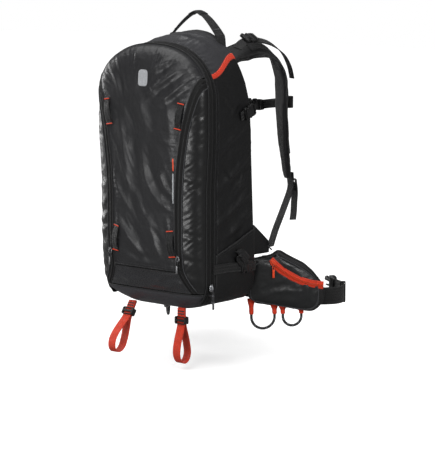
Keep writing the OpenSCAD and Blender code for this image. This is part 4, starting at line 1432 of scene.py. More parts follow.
def vertex_normals(mesh):
    return np.array([tuple(v.normal) for v in mesh.vertices])


def cloth_settled(obj, pressure, frames=20):
    """Vertex places after the cloth solver has blown the mesh up."""
    scene = bpy.context.scene
    cloth = obj.modifiers.new("c", "CLOTH")
    settings = cloth.settings
    settings.quality = 5
    settings.mass = 0.3
    settings.use_pressure = True
    settings.uniform_pressure_force = pressure
    settings.tension_stiffness = 15
    settings.compression_stiffness = 15
    settings.shear_stiffness = 5
    settings.bending_stiffness = 0.5
    settings.effector_weights.gravity = 0.0
    cloth.collision_settings.use_collision = False
    cloth.collision_settings.use_self_collision = False
    cloth.point_cache.frame_start = 1
    cloth.point_cache.frame_end = frames
    for i in range(1, frames + 1):
        scene.frame_set(i)
    evaluated = obj.evaluated_get(bpy.context.evaluated_depsgraph_get())
    settled = coords(evaluated.to_mesh())
    evaluated.to_mesh_clear()
    obj.modifiers.clear()
    scene.frame_set(1)
    return settled


def puff(obj, voxel, pressure, cap, relax=3):
    """Swells a closed mesh by at most cap; voxel and cap are in metres."""
    remesh = obj.modifiers.new("r", "REMESH")
    remesh.mode = "VOXEL"
    remesh.voxel_size = voxel
    bake(obj)
    start = coords(obj.data)
    move = cloth_settled(obj, pressure) - start
    size = np.linalg.norm(move, axis=1, keepdims=True)
    swollen = start + move * np.minimum(1, cap / np.maximum(size, 1e-9))
    set_coords(obj, swollen)
    smooth = obj.modifiers.new("s", "SMOOTH")
    smooth.factor = 0.5
    smooth.iterations = relax
    subdivide = obj.modifiers.new("d", "SUBSURF")
    subdivide.levels = 1
    subdivide.render_levels = 1
    bake(obj)
    shade_smooth(obj.data)
    return obj


def fit(obj, low, high):
    """Stretches a mesh to fill a box."""
    points = coords(obj.data)
    start, end = points.min(0), points.max(0)
    low, high = np.array(low, float) * MM, np.array(high, float) * MM
    return set_coords(obj, low + (points - start) / (end - start) * (high - low))


def groove(obj, relief):
    """Moves each vertex along its normal by relief(points, normals)."""
    points, normals = coords(obj.data), vertex_normals(obj.data)
    return set_coords(obj, points + normals * relief(points / MM, normals)[:, None] * MM)


def split_materials(obj, first, second, is_second):
    """Gives faces the second material where is_second(centres, normals) holds."""
    for material in (first, second):
        obj.data.materials.append(MAT[material])
    centres = np.array([tuple(p.center) for p in obj.data.polygons]) / MM
    normals = np.array([tuple(p.normal) for p in obj.data.polygons])
    obj.data.polygons.foreach_set("material_index",
                                  is_second(centres, normals).astype(np.int32))
    return obj


def tree_of(obj):
    mesh = obj.data
    return BVHTree.FromPolygons([v.co.copy() for v in mesh.vertices],
                                [list(p.vertices) for p in mesh.polygons])


def hug(tree, path, lift):
    """Brings a path onto the nearest places of a surface and smooths it."""
    near = []
    for point in path:
        hit, normal = tree.find_nearest(Vector(point * MM))[:2]
        near.append(np.array(hit) / MM + np.array(normal) * lift)
    near = np.array(near)
    if np.linalg.norm(near[0] - near[-1]) < 12:  # a closed path wraps round
        k = np.concatenate([near[-2:], near, near[:2]])
    else:
        k = np.concatenate([near[:1], near[:1], near, near[-1:], near[-1:]])
    return (k[:-4] + 2 * k[1:-3] + 3 * k[2:-2] + 2 * k[3:-1] + k[4:]) / 9


def snap(tree, path, direction, reach=40):
    """Casts points against a surface; gives the places hit and their normals."""
    points, normals = [], []
    for point, ray in zip(path, np.broadcast_to(np.asarray(direction, float), path.shape)):
        ray = unit(ray)
        hit, normal = tree.ray_cast(Vector((point - ray * reach) * MM), Vector(ray),
                                    reach * 2 * MM)[:2]
        if hit is None:
            hit, normal = tree.find_nearest(Vector(point * MM))[:2]
        normal = np.array(normal)
        points.append(np.array(hit) / MM)
        normals.append(-normal if normal.dot(ray) > 0 else normal)
    return np.array(points), np.array(normals)


# back panel: a thin cloth sheet and the bound seam round it
edge_q = np.concatenate([np.linspace(0, 1, 14), [1.2, 1.5, 1.85], np.linspace(2, 3, 26)])
right_edge = outline(BACK_Y - EDGE_R, edge_q, 12.3)[:, [0, 2]].tolist()
back_edge = right_edge + [(-x, z) for x, z in right_edge[::-1] if x > 0.5]
rig(plate("back_cloth", back_edge, 3.0, BACK_Y - 0.8, radius=1.2), "bag", "pad", "back_panel")
path = even_path(with_mirror(outline(88.9, np.linspace(0, 3, 700), 0.3)), 3.0)
path[:, 1] = 89.6
trim("back_seam_binding", path, 2.1, "bag", sides=10)

# two long back pads with pressed channels; outline points (x, z) of the right one
BACK_PAD = [(22, 132), (88, 124), (102, 200), (104, 300), (92, 400), (76, 470), (60, 478),
            (26, 470)]
BACK_CHANNELS = (186, 246, 306, 366, 424)


def back_channels(points, normals):
    x, z, facing = points[:, 0], points[:, 2], normals[:, 1] > 0.2
    out = np.zeros(len(points))
    for height in BACK_CHANNELS:
        out -= 3.2 * np.exp(-((z - (height + (x - 60) * 0.12)) / 4.2) ** 2) * facing
    return out - 2.0 * np.exp(-((x - 60) / 3.4) ** 2) * facing * (z > 150) * (z < 460)


pad = plate("back_pad_right", round_poly(shrink(BACK_PAD, 3.0), 14), 9.0, BACK_Y + 4.0,
            radius=3)
puff(pad, voxel=0.005, pressure=4, cap=0.0045)
fit(pad, (22.5, BACK_Y + 2.2, 124.6), (103.5, BACK_Y + 16.6, 477.5))
groove(pad, back_channels)
split_materials(pad, "spacer", "pad", lambda c, n: n[:, 1] <= 0.25)
for (sign, side), pad in zip(SIDES, pair(pad, "bag", "spacer")):
    tree = tree_of(pad)
    points, normals = snap(tree, ring(BACK_PAD, 7.5, 16, 100.0, 1.5, sign), (0, -1, 0))
    seam("back_pad_stitch_" + side, points, normals, PAD_STITCH, "bag")
    path = ring(BACK_PAD, 0.6, 16, 93.4, 4, sign)[:-1]
    trim("back_pad_binding_" + side, hug(tree, path, 0.2), 1.8, "bag", closed=True)
pad = rbox("top_pad", (-22, BACK_Y + 2.4, 484), (22, BACK_Y + 10.4, 520), 3.0, 4)
rig(puff(pad, voxel=0.004, pressure=3, cap=0.002), "bag", "spacer")

# lumbar pad: two crowned halves either side of a channel; points (x, z) of the right half
LUMBAR = [(14, 7), (81, 7), (83, 60), (73, 107), (14, 107)]
pad = plate("lumbar_pad_right", round_poly(shrink(LUMBAR, 2.5), 11), 15, BACK_Y + 5.2,
            radius=4.5)
puff(pad, voxel=0.005, pressure=4, cap=0.005)
fit(pad, (14.4, BACK_Y + 2.6, 7.2), (83, BACK_Y + 24.4, 107.4))
groove(pad, lambda p, n: -2.6 * (n[:, 1] > 0.2)
       * np.exp(-((p[:, 2] - 58 - (p[:, 0] - 48) * 0.2) / 4) ** 2))
split_materials(pad, "spacer", "pad", lambda c, n: n[:, 1] <= 0.3)
lumbar_pads = pair(pad, "bag", "spacer", "lumbar_pad")
rig(plate("lumbar_web", round_poly([(-20, 10), (20, 10), (20, 104), (-20, 104)], 4), 6,
          BACK_Y + 2.6, radius=1.8), "bag", "padgrey")
for (sign, side), pad in zip(SIDES, lumbar_pads):
    path = ring(LUMBAR, 0.8, 12, 94.6, 4, sign)[:-1]
    trim("lumbar_binding_" + side, hug(tree_of(pad), path, 0.2), 1.9, "bag", closed=True)

# ------------------------------------------------------------------ shoulder straps

# Right strap: centre x, y, z; width direction x, y, z; width
STRAP = [
    [42, 100.5, 502, 0.98, 0, -0.2, 52], [50, 120, 517, 0.85, -0.1, -0.5, 54],
    [60, 150, 526, 0.7, -0.2, -0.68, 58], [70, 184, 532, 0.68, -0.24, -0.66, 58],
    [81, 213, 525, 0.75, -0.3, -0.5, 58], [90, 234, 503, 0.86, -0.36, -0.3, 58],
    [95, 244, 472, 0.91, -0.39, -0.12, 58], [97, 246, 440, 0.92, -0.39, 0, 58],
    [98, 246, 380, 0.92, -0.39, 0, 54], [100, 249, 327, 0.92, -0.39, 0, 48],
    [104, 255, 272, 0.92, -0.39, 0, 38], [106, 259, 246, 0.92, -0.39, 0, 31],
]
_stations = smooth_path(STRAP, 10)
STRAP_C, STRAP_WIDTH = _stations[:, :3], _stations[:, 6]
_along = tangents(STRAP_C)
STRAP_ACROSS = square_to(_stations[:, 3:6], _along)
STRAP_OUT = np.cross(_along, STRAP_ACROSS)
STRAP_OUT *= np.sign(STRAP_OUT[:, 1:2] + STRAP_OUT[:, 2:3] * 0.9)


def pillow_bar(name, path, across, out, widths, thick):
    """A bar with a pillow-shaped section whose width varies."""
    angle = np.arange(28) * 2 * np.pi / 28
    cos, sin = np.cos(angle), np.sin(angle)
    u = (np.sign(cos) * np.abs(cos) ** (2 / 3.2))[None, :, None] * widths[:, None, None] / 2
    v = (np.sign(sin) * np.abs(sin) ** (2 / 2.4))[None, :, None] * thick / 2
    points = path[:, None] + u * across[:, None] + v * out[:, None]
    obj = new_mesh(name, points.reshape(-1, 3) * MM, tube_faces(len(path), 28))
    bm = bmesh.new()
    bm.from_mesh(obj.data)
    bmesh.ops.recalc_face_normals(bm, faces=bm.faces[:])
    bm.to_mesh(obj.data)
    bm.free()
    return obj


def near_station(points):
    gaps = ((points[:, None, :] - STRAP_C[None, ::4]) ** 2).sum(-1)
    return gaps.argmin(1) * 4


def strap_relief(points, normals):
    i = near_station(points)
    offset = ((points - STRAP_C[i]) * STRAP_ACROSS[i]).sum(1)
    facing = (normals * STRAP_OUT[i]).sum(1)
    edge_line = np.exp(-((np.abs(offset) - STRAP_WIDTH[i] * 0.5 + 7) / 1.6) ** 2)
    relief = -1.5 * edge_line * (np.abs(facing) > 0.3)
    relief = relief + 0.5 * noise(points[:, 0] / 26, points[:, 2] / 22, points[:, 1] / 26,
                                  seed=151)
    return relief - 0.8 * np.exp(-np.sin(i * 0.20) ** 2 * 30) * (facing < -0.3)


def strap_underside(centres, normals):
    return (normals * STRAP_OUT[near_station(centres)]).sum(1) < -0.25


pad = pillow_bar("shoulder_strap_right_pad", STRAP_C[2:-1], STRAP_ACROSS[2:-1],
                 STRAP_OUT[2:-1], STRAP_WIDTH[2:-1] - 0.8, 8.6)
puff(pad, voxel=0.0045, pressure=4, cap=0.003, relax=2)
groove(pad, strap_relief)
split_materials(pad, "pad", "spacer", strap_underside)
pair(pad, "bag", "pad", "shoulder_strap_right")
strap_tree = tree_of(pad)
for sign, edge in ((1, "outer"), (-1, "inner")):
    path = STRAP_C[3:-2] + STRAP_ACROSS[3:-2] * (STRAP_WIDTH[3:-2, None] / 2 - 0.9) * sign
    pair(rope("strap_binding_%s_right" % edge, hug(strap_tree, path, 0.1), 1.9), "bag",
         "binding")
    path = STRAP_C[4:-3] + STRAP_ACROSS[4:-3] * (STRAP_WIDTH[4:-3, None] / 2 - 7) * sign
    even = even_path(path, 1.6)
    rays = -np.stack([np.interp(np.linspace(0, 1, len(even)), np.linspace(0, 1, len(path)),
                                column) for column in STRAP_OUT[4:-3].T], -1)
    points, normals = snap(strap_tree, even, rays)
    pair(stitches("strap_stitch_%s_right" % edge, points, normals, STRAP_STITCH), "bag",
         "thread")

# webbing sewn along the strap's outer face, from strap station WEB_START on
WEB_START, WEB_END = 24, 96
web_across, web_out = STRAP_ACROSS[WEB_START:WEB_END], STRAP_OUT[WEB_START:WEB_END]
path = snap(strap_tree, STRAP_C[WEB_START:WEB_END], -web_out)[0]
web_path = np.stack([moving_mean(column, 3) for column in path.T], -1) + web_out * 0.95
pair(flat_strap("strap_web_right", web_path, web_across, 20, 1.5), "bag", "web")
for i, k in enumerate((2, 16, 30, 41, 58, 69)):
    pair(tack("strap_tack_%d_right" % i, web_path[k] + web_out[k] * 0.95, web_across[k],
              web_out[k], 17, 2.2, 0.8), "bag", "thread")

# ------------------------------------------------------------------ buckles


def bar(name, end, y, z, radius):
    """A round bar across x."""
    path = np.linspace([-end, z, y], [end, z, y], 5)
    return rope(name, path, radius, 12)


def ladder_lock(name, width, height, thick):
    """A ladder lock in the x-z plane: frame, two bars and a ribbed thumb lip."""
    slot = lambda z: rounded_rect(width + 1.6, 5.0, 1.6, z=z)
    parts = [plate("part", rounded_rect(width + 10, height, 3.2), thick, -thick / 2, radius=1.1,
                   holes=[slot(height / 2 - 5.6), slot(-height / 2 + 6.2)])]
    end, low, front = width / 2 + 1, -height / 2, -thick / 2
    parts.append(bar("part", end, 0.3, -1.2, 2.0))
    parts.append(bar("part", end, height / 2 - 1.9, -0.4, 1.9))
    parts.append(rbox("part", (-width / 2 + 2, front - 2.2, low - 2.0),
                      (width / 2 - 2, front + 2.6, low + 2.4), 1.1, 3))
    for x in np.linspace(-width / 2 + 5, width / 2 - 5, 6):
        parts.append(rbox("part", (x - 0.5, front - 2.6, low - 1.6),
                          (x + 0.5, front - 1.4, low + 1.8), 0.3))
    return join(name, parts)


def socket(name, length, width, thick):
    """The socket of a side-release buckle: x along, y through, z across."""
    half = width / 2
    # Lower edge: share of the length, share of the half width
    edge = [(0, 0.86), (0.18, 0.98), (0.40, 1), (0.46, 0.70), (0.66, 0.66), (0.74, 1),
            (0.93, 1), (1, 0.88)]
    points = [(length * a, -half * b) for a, b in edge]
    points += [(x, -z) for x, z in points[::-1]]
    slot = rounded_rect(max(2.6, length * 0.10), width * 0.76, 1.1, x=length * 0.15)
    parts = [plate("part", round_poly(points, min(3.0, width * 0.1), 3), thick, -thick / 2,
                   radius=min(1.2, thick * 0.2), holes=[slot])]
    raised = [(length * 0.30, -half * 0.50), (length * 0.90, -half * 0.62),
              (length * 0.90, half * 0.62), (length * 0.30, half * 0.50)]
    for sign in (-1, 1):
        parts.append(plate("part", round_poly(raised, 3, 3), 0.9,
                           sign * (thick / 2 + 0.15) - 0.45, radius=0.4))
        y = sign * (thick / 2 + 0.3)
        for k in range(3):
            x = length * (0.42 + 0.12 * k)
            parts.append(rbox("part", (x - 0.5, y - 0.5, -half * 0.34),
                              (x + 0.5, y + 0.5, half * 0.34), 0.4))
    return join(name, parts)


def clip(name, length, width, thick, prong):
    """The clip: a body with a webbing slot, and prongs beyond it."""
    half = width / 2
    body = [(0, -half * 0.86), (length * 0.4, -half), (length * 0.92, -half),
            (length, -half * 0.86)]
    body += [(x, -z) for x, z in body[::-1]]
    slot = rounded_rect(max(2.6, length * 0.2), width * 0.76, 1.1, x=length * 0.34)
    parts = [plate("part", round_poly(body, min(2.4, width * 0.1), 3), thick, -thick / 2,
                   radius=min(1.1, thick * 0.2), holes=[slot])]
    prong_thick = thick * 0.46
    # Prong: place beyond the body, share of the half width
    shape = [(-0.5, 0.62), (prong * 0.45, 0.60), (prong * 0.62, 0.80), (prong * 0.86, 0.80),
             (prong, 0.52), (prong * 0.97, 0.40), (-0.5, 0.34)]
    for sign in (-1, 1):
        points = [(length + a, sign * half * b) for a, b in shape]
        parts.append(plate("part", round_poly(points[::sign], 1.2, 3), prong_thick,
                           -prong_thick / 2, radius=0.5))
    end = length + prong * 0.85
    guide = [(length - 0.5, -half * 0.08), (end, -half * 0.06), (end, half * 0.06),
             (length - 0.5, half * 0.08)]
    parts.append(plate("part", round_poly(guide, 0.6, 2), prong_thick * 0.8,
                       -prong_thick * 0.4, radius=0.35))
    return join(name, parts)


def closed_buckle(name, socket_length, clip_length, width=27, thick=6.2):
    """A closed side-release buckle centred on its middle, x along."""
    length = socket_length + clip_length
    first = socket("part", socket_length, width, thick)
    second = clip("part", clip_length, width * 0.94, thick * 0.9, socket_length * 0.52)
    shift(turn(second, 180, "Y"), length + 0.6, 0, 0)
    return shift(join(name, [first, second]), -length / 2, 0, 0)


# ------------------------------------------------------------------ adjusters under the straps

ADJUSTER_ACROSS = [0.92, -0.35, 0.1]
pair(webbing("adjuster_web_right",
             [(105.5, 266.8, 262), (106.5, 267.2, 242), (108, 262, 222), (116, 226, 184),
              (124, 188, 146), (129.5, 162, 113)], ADJUSTER_ACROSS, 25, 1.9, 10),
     "bag", "web", "adjuster_webbing")
pair(webbing("adjuster_tail_right",
             [(109.2, 276.0, 232), (110.8, 276.4, 216), (112.6, 272.0, 196), (114.4, 268, 176),
              (115.6, 263, 158)], ADJUSTER_ACROSS, 25, 1.7, 10), "bag", "web")
lock = turn(turn(ladder_lock("ladder_lock_right", 25, 25, 3.6), 8, "X"), -21, "Z")
pair(shift(lock, 107, 272.6, 236), "bag", "plastic", "ladder_locks")

# cloth wing between the shell and the adjuster's lower end
share = np.linspace(0, 1, 16)[None]
y = lerp(92.5, 157, share)
z = lerp(lerp(106, 102, share), lerp(168, 124, share), np.linspace(0, 1, 18)[:, None])
x = lerp(137.6, 130.2, share) + 1.2 * np.sin(math.pi * share)
wing = grid(x + 0.9 * noise(y / 16, z / 14, seed=161), y, z)
pair(shell("strap_wing_right", wing, 2.0), "bag", "matte")
pair(rope("strap_wing_edge_right", wing[-1] + [-0.6, 0, 0], 1.7), "bag", "binding")
pair(tack("strap_wing_tack_right", (131.6, 156, 113), (0.1, 0.6, -0.5), (1, 0.1, 0), 20, 3, 1.0),
     "bag", "thread")

# load lifters: centre x, y, z; width direction x, y, z
LIFTER = np.array([
    [93, 93, 538, 0.9, 0.1, -0.4], [86, 118, 547, 0.84, 0.05, -0.5],
    [80, 150, 552, 0.8, 0, -0.55], [82, 184, 550, 0.78, -0.1, -0.55],
    [91, 214, 541, 0.8, -0.25, -0.5], [102, 240, 521, 0.86, -0.34, -0.3],
    [109, 255, 494, 0.9, -0.38, -0.1], [112, 262, 466, 0.92, -0.39, 0],
])
pair(webbing("load_lifter_right", LIFTER[:, :3], LIFTER[:, 3:], 20, 1.9, 10), "bag", "web",
     "load_lifters")
pair(orient(closed_buckle("lifter_buckle_right", 24, 18), (81.3, 151, 557.2), (0, 1, 0),
            (0.556, 0, 0.83), (0.83, 0, -0.556)), "bag", "plastic", "lifter_buckles")

# ------------------------------------------------------------------ compression straps


def edge_lift(y):
    """The straps stand a little higher over the back seam."""
    return 1.0 if y > 80 else 0


path = [(side_x(y, upper_strap_z(y)) + 1.6 + edge_lift(y), y, upper_strap_z(y))
        for y in (44, 52, 60, 68, 76, 84, 88)]
pair(webbing("compression_upper_right", path, (0.12, -0.3, 1), 20, 1.8, 8), "bag", "web",
     "compression_straps")
path = [(side_x(y, LOWER_STRAP_Z) + 2.4 + edge_lift(y) + 2.2 * math.exp(-((y - 20) / 34) ** 2),
         y, LOWER_STRAP_Z - (0.08 * y if y > 0 else 0))
        for y in (-46, -34, -20, -6, 10, 26, 40, 54, 66, 76, 84, 88)]
pair(webbing("compression_lower_right", path, (0, 0.1, 1), 20, 1.8, 8), "bag", "web")
# Loose tail: y, z, lift
TAIL = [(66, 88, 0.4), (52, 91, 1.4), (38, 98, 2.6), (26, 108, 3.2), (22, 116, 4.4),
        (27, 119, 6.2), (36, 112, 6.6), (46, 102, 6.0)]
path = [(side_x(y, LOWER_STRAP_Z) + 5.6 + lift, y, z) for y, z, lift in TAIL]
pair(webbing("compression_tail_right", path, (0.1, 0.25, 1), 20, 1.7, 8), "bag", "web")
pair(orient(closed_buckle("compression_buckle_upper_right", 20, 15),
            (side_x(73, 411) + 4.9, 71.5, 410.2), (0.0, 0.956, 0.292), (1, 0, 0),
            (0, -0.292, 0.956)), "bag", "plastic", "compression_buckles")
pair(orient(closed_buckle("compression_buckle_lower_right", 20, 15),
            (side_x(52, 88) + 5.2, 52, 88), (0.0, 0.997, -0.07), (1, 0, 0), (0, 0.07, 0.997)),
     "bag", "plastic")
pair(tack("compression_tack_a_right", (side_x(86, 414) + 3.6, 85, 414.6), (0, 0, 1),
          (1, 0.2, 0), 17), "bag", "thread")

# ------------------------------------------------------------------ haul loop

share = np.linspace(-1, 1, 60)
path = grid(64 * share, 72 + 6 * np.cos(np.radians(np.linspace(-90, 90, 60))),
            564 + 49 * (1 - np.abs(share) ** 1.5))
along = tangents(path)
across = square_to(grid(0.5 * share, 1.0, 0.0), along)
out = np.cross(along, across)
rig(flat_strap("haul_loop_web", path, across, 22, 2.3), "haul_loop", "web", "haul_loop")
# the sewn feet that the loop folds over, part of the bag
for sign, side in SIDES:
    t = np.linspace(0, 1, 14)
    foot = grid(sign * (62.5 + 9.5 * t ** 0.8), 72 - 6 * t ** 1.3, 566.5 - 27 * t ** 1.25)
    rig(flat_strap("haul_foot_" + side, foot, np.array([0.3 * sign, 1.0, 0.0]), 23, 3.4), "bag",
        "web")
middle = slice(22, 38)
rig(pillow_bar("haul_loop_grip", path[middle], across[middle], out[middle], np.full(16, 26.0),
               5.6), "haul_loop", "binding")
for (sign, side), i in zip(SIDES, (54, 5)):
    outward = out[i] * np.sign(out[i] @ np.array([sign, 0, 0.3]))
    rig(tack("haul_tack_" + side, path[i] + outward * 1.3, across[i], outward, 18, 2.8),
        "haul_loop", "thread")

# ------------------------------------------------------------------ tabs and trims on the front

# Tool tabs, sewn at both ends: x and z of the top, x and z of the bottom
TOOL_TABS = ((99, 439, 90, 382), (70, 176, 77, 118))
for sign, side in SIDES:
    for i, (top_x, tab_top, low_x, tab_low) in enumerate(TOOL_TABS):
        stations = []
        for t in np.linspace(0, 1, 22):
            arch = math.sin(math.pi * np.clip((t - 0.12) / 0.76, 0, 1))
            stations.append(front_at(sign * lerp(top_x, low_x, t), lerp(tab_top, tab_low, t),
                                     0.9 + 4.6 * arch))
        path, normals = (np.array(values) for values in zip(*stations))
        across = unit(np.cross(tangents(path), normals))
        rig(flat_strap("tool_tab_%d_%s" % (i, side), path, across, 15.5, 1.8), "front_flap",
            "web", *(["tool_tabs"] if sign > 0 and i == 0 else []))
        for k, j in ((0, 1), (1, 20)):
            rig(tack("tool_tab_tack_%d%d_%s" % (i, k, side), path[j] + normals[j], across[j],
                     normals[j], 15.5, 2.2, 1.0), "front_flap", "thread_red")


def front_patch(name, x, z, width, height, roundness, material, lift=0.5, count=18):
    """A patch on the front panel, squeezed from a square onto a superellipse."""
    u, v = np.meshgrid(np.linspace(-1, 1, count),
                       np.linspace(-1, 1, max(6, int(count * height / width))))
    power = 6.0 * roundness
    squeeze = (np.maximum(np.abs(u), np.abs(v))
               / (np.abs(u) ** power + np.abs(v) ** power) ** (1 / power))
    places = np.stack([u * squeeze * width / 2 + x, v * squeeze * height / 2 + z], -1)
    points = np.array([[front_at(px, pz, lift)[0] for px, pz in row] for row in places])
    return rig(shell(name, points, 0.8), "front_flap", material)


front_patch("front_patch", -1, 484, 25, 34, 0.7, "reflect", lift=0.55)
front_patch("front_trim_pale", 79, 262, 3.2, 62, 1.2, "reflect", count=6)
front_patch("front_trim_orange", 79.5, 311, 3.2, 26, 1.2, "reflect_red", count=6)

# ------------------------------------------------------------------ sternum strap

UPRIGHT = (0, 0, 1)


def sternum_z(x):
    return 402 + 0.14 * (x - 8)


# The carrier on the right strap: low corner, high corner, edge radius, segments
CARRIER = [
    ((89, 256.9, 401.6), (111, 262.6, 427.4), 1.4, 3),
    ((89.5, 268.3, 402.4), (110.5, 269.5, 426.6), 0.5, 2),
    ((107.8, 257.5, 401.6), (111, 269.4, 427.4), 1.1, 3),
    ((89.2, 262.0, 401.6), (110.5, 269.3, 403.4), 0.6, 2),
    ((89.2, 262.0, 425.6), (110.5, 269.3, 427.4), 0.6, 2),
] + [((92 + 3 * k, 269.2, 406), (93.2 + 3 * k, 269.9, 423), 0.3, 2) for k in range(5)]

for sign, side, y, start in ((-1, "left", 267.4, 14.2), (1, "right", 264.9, 58.5)):
    body = "sternum_" + side
    path = [(sign * x, y, sternum_z(x)) for x in np.linspace(start, 88.5, 14)]
    rig(webbing("sternum_web_" + side, path, UPRIGHT, 20, 1.8, 3), body, "web",
        "sternum_strap_" + side)
    carrier = join("sternum_carrier_" + side, [rbox("part", *box) for box in CARRIER])
    if sign < 0:
        mirror(carrier)
    rig(carrier, body, "plastic")
    rig(tack("sternum_tack_" + side, (sign * 84, y + 1.1, sternum_z(84)), UPRIGHT, (0, 1, 0),
             17, 2.6, 0.8), body, "thread")

rig(shift(socket("sternum_socket_body", 28, 26, 8.6), -16, 267.5, 403.5), "sternum_left",
    "plastic", "sternum_socket")
rig(shift(turn(clip("sternum_clip_body", 18, 24, 8.4, 18.5), 180, "Y"), 31.1, 267.5, 403.5),
    "sternum_clip", "plastic", "sternum_clip")
path = [(x, 268.2, sternum_z(x)) for x in np.linspace(27, 62, 8)]
rig(webbing("sternum_clip_web", path, UPRIGHT, 20, 1.6, 3), "sternum_clip", "web")
rail = slice(26, 50)
pair(webbing("sternum_rail_right", web_path[rail] + web_out[rail] * 0.6, web_across[rail], 6,
             1.6, 2), "bag", "web")

# ------------------------------------------------------------------ hip belt

# The right wing's own frame: x along the wing, y outwards from the pad, z up
HALF_TURN = math.sqrt(0.5)
BELT_FRAME = frame_matrix((125, 100, 0), (HALF_TURN, HALF_TURN, 0),
                          (-HALF_TURN, HALF_TURN, 0), (0, 0, 1))
# Outline points (x, z) of the wing and of its pocket
WING = [(1, 0), (20, -8), (60, -16), (112, -24), (134, -26), (148, -20), (158, -8), (162, 12),
        (160, 30), (150, 46), (136, 62), (118, 78), (89, 92), (60, 108), (52, 97), (10, 88),
        (1, 84)]
POCKET = [(-4, 2), (20, -6), (60, -14), (112, -22), (132, -22), (146, -12), (150, 4), (150, 26),
          (142, 48), (118, 70), (89, 87), (60, 102), (52, 95), (10, 84), (-4, 76)]
# Folds: points (x, z) along the crest, height, width
POCKET_FOLDS = [([(20, 10), (60, 24), (110, 20)], 1.6, 7),
                ([(100, 60), (118, 36), (124, 8)], 1.6, 7)]
ARC_X, ARC_Z, ARC_R = 176.6, 215.5, 184  # centre and radius of the pocket zip's arc


def hip(obj, material, *stands, body="hip_wing_right", slot=None):
    """Moves a piece from the wing's own frame to the belt, and rigs it on both sides."""
    return pair(place(obj, BELT_FRAME), body, material, *stands, slot=slot)


def wing_relief(points, normals):
    x, z = points[:, 0], points[:, 2]
    lines = np.exp(-((np.abs(z - 38) - 22 + x * 0.05) / 3.2) ** 2)
    return -1.8 * lines * (normals[:, 1] > 0.3) + 0.5 * noise(x / 24, z / 20, seed=171)


wing = plate("belt_wing_pad_right", round_poly(shrink(WING, 1.8), 7), 7.6, 30, radius=2.6)
puff(wing, voxel=0.005, pressure=4, cap=0.004)
fit(wing, (1.2, 27.4, -25.6), (161.6, 39.4, 107.4))
wing_tree = tree_of(wing)
groove(wing, wing_relief)
split_materials(wing, "pad", "spacer", lambda c, n: n[:, 1] > 0.3)
hip(wing, "pad", "belt_wing_right")
path = hug(wing_tree, ring(WING, 0.4, 9, 33.0, 4)[:-1], 0.2)
hip(rope("belt_wing_binding_right", path, 2.1, 9, closed=True), "binding")


def pocket_relief(points, normals):
    face = (normals[:, 1] < -0.1) * 1.0
    x, z = points[:, 0], points[:, 2]
    relief = 1.3 * (creases(x, z, 22, 40, 15, seed=181) - 0.4)
    relief = relief + 1.0 * noise(x / 34, z / 26, seed=183) + folds(x, z, POCKET_FOLDS)
    radius = np.hypot(x - ARC_X, z - ARC_Z)
    relief = relief - 1.6 * np.exp(-((radius - ARC_R) / 7) ** 2) * (x < 120)
    return relief * face + (1 - face) * 0.5 * noise(x / 20, z / 20, seed=187)


pouch = plate("belt_pocket_pouch_right", round_poly(shrink(POCKET, 2.6), 8), 17, 9.0,
              radius=5.0, segments=4)
puff(pouch, voxel=0.005, pressure=4, cap=0.0055, relax=2)
fit(pouch, (-3.6, 2.6, -21.6), (149.6, 27.6, 101.6))
groove(pouch, pocket_relief)
pocket_tree = tree_of(pouch)
hip(pouch, "pocket", "belt_pocket_right")

# the pocket's zip; section of the tape: place across, height
POCKET_TAPE = [(-8.4, -1.2), (-8.2, 0.5), (-7.0, 1.0), (-5.6, 1.0), (-3.2, 1.0), (-2.7, 1.6),
               (-1.3, 2.0), (-0.4, 1.2), (0.4, 1.2), (1.3, 2.0), (2.7, 1.6), (3.2, 1.0),
               (5.6, 1.0), (7.0, 1.0), (8.2, 0.5), (8.4, -1.2)]
POCKET_COIL = [(2.6, 0.0), (1.9, 0.6), (0.3, 0.75), (0, 0.35), (-0.3, 0.75), (-1.9, 0.6),
               (-2.6, 0.0), (-1.9, -0.6), (1.9, -0.6)]
ARC_ANGLES = np.radians(np.linspace(223.0, 264, 90))


def zip_arc(across=0.0, y=0.0):
    radius = ARC_R + across
    return grid(ARC_X + radius * np.cos(ARC_ANGLES), y, ARC_Z + radius * np.sin(ARC_ANGLES))


zip_y = moving_mean(snap(pocket_tree, zip_arc(), (0, 1, 0))[0][:, 1], 4)
tape = np.stack([zip_arc(across, zip_y - height - 0.5) for across, height in POCKET_TAPE])
hip(shell("belt_zip_tape_right", tape[::-1], 1.4), "tape_red")
path = zip_arc(y=zip_y - 2.1)
hip(sweep("belt_zip_coil_right", path, POCKET_COIL, np.cross(tangents(path), FORWARD),
          np.tile(FORWARD, (len(path), 1))), "coil_red")
for across, row_name in ((5.9, "a"), (-5.9, "b")):
    path = zip_arc(across, zip_y - 1.5)[2:-2]
    hip(stitches("belt_zip_stitch_%s_right" % row_name, path, np.tile(FORWARD, (len(path), 1)),
                 BELT_STITCH), "thread")
# piping round the pocket's outer face, and a seam where its side meets the wing
path = ring(POCKET, 3.4, 12, 8.8, 3.4)[:-1]
path[:, 1] = 7.4 + 0.8 * np.sin(path[:, 0] / 19)
hip(rope("belt_pocket_piping_right", hug(pocket_tree, path, 0.5), 1.15, closed=True), "piping")
path = ring(POCKET, 1.2, 12, 26.6, 4, closed=False)
hip(rope("belt_pocket_seam_right", hug(pocket_tree, path, 0.2), 1.6, closed=True), "binding")

# ------------------------------------------------------------------ zip sliders and their pulls


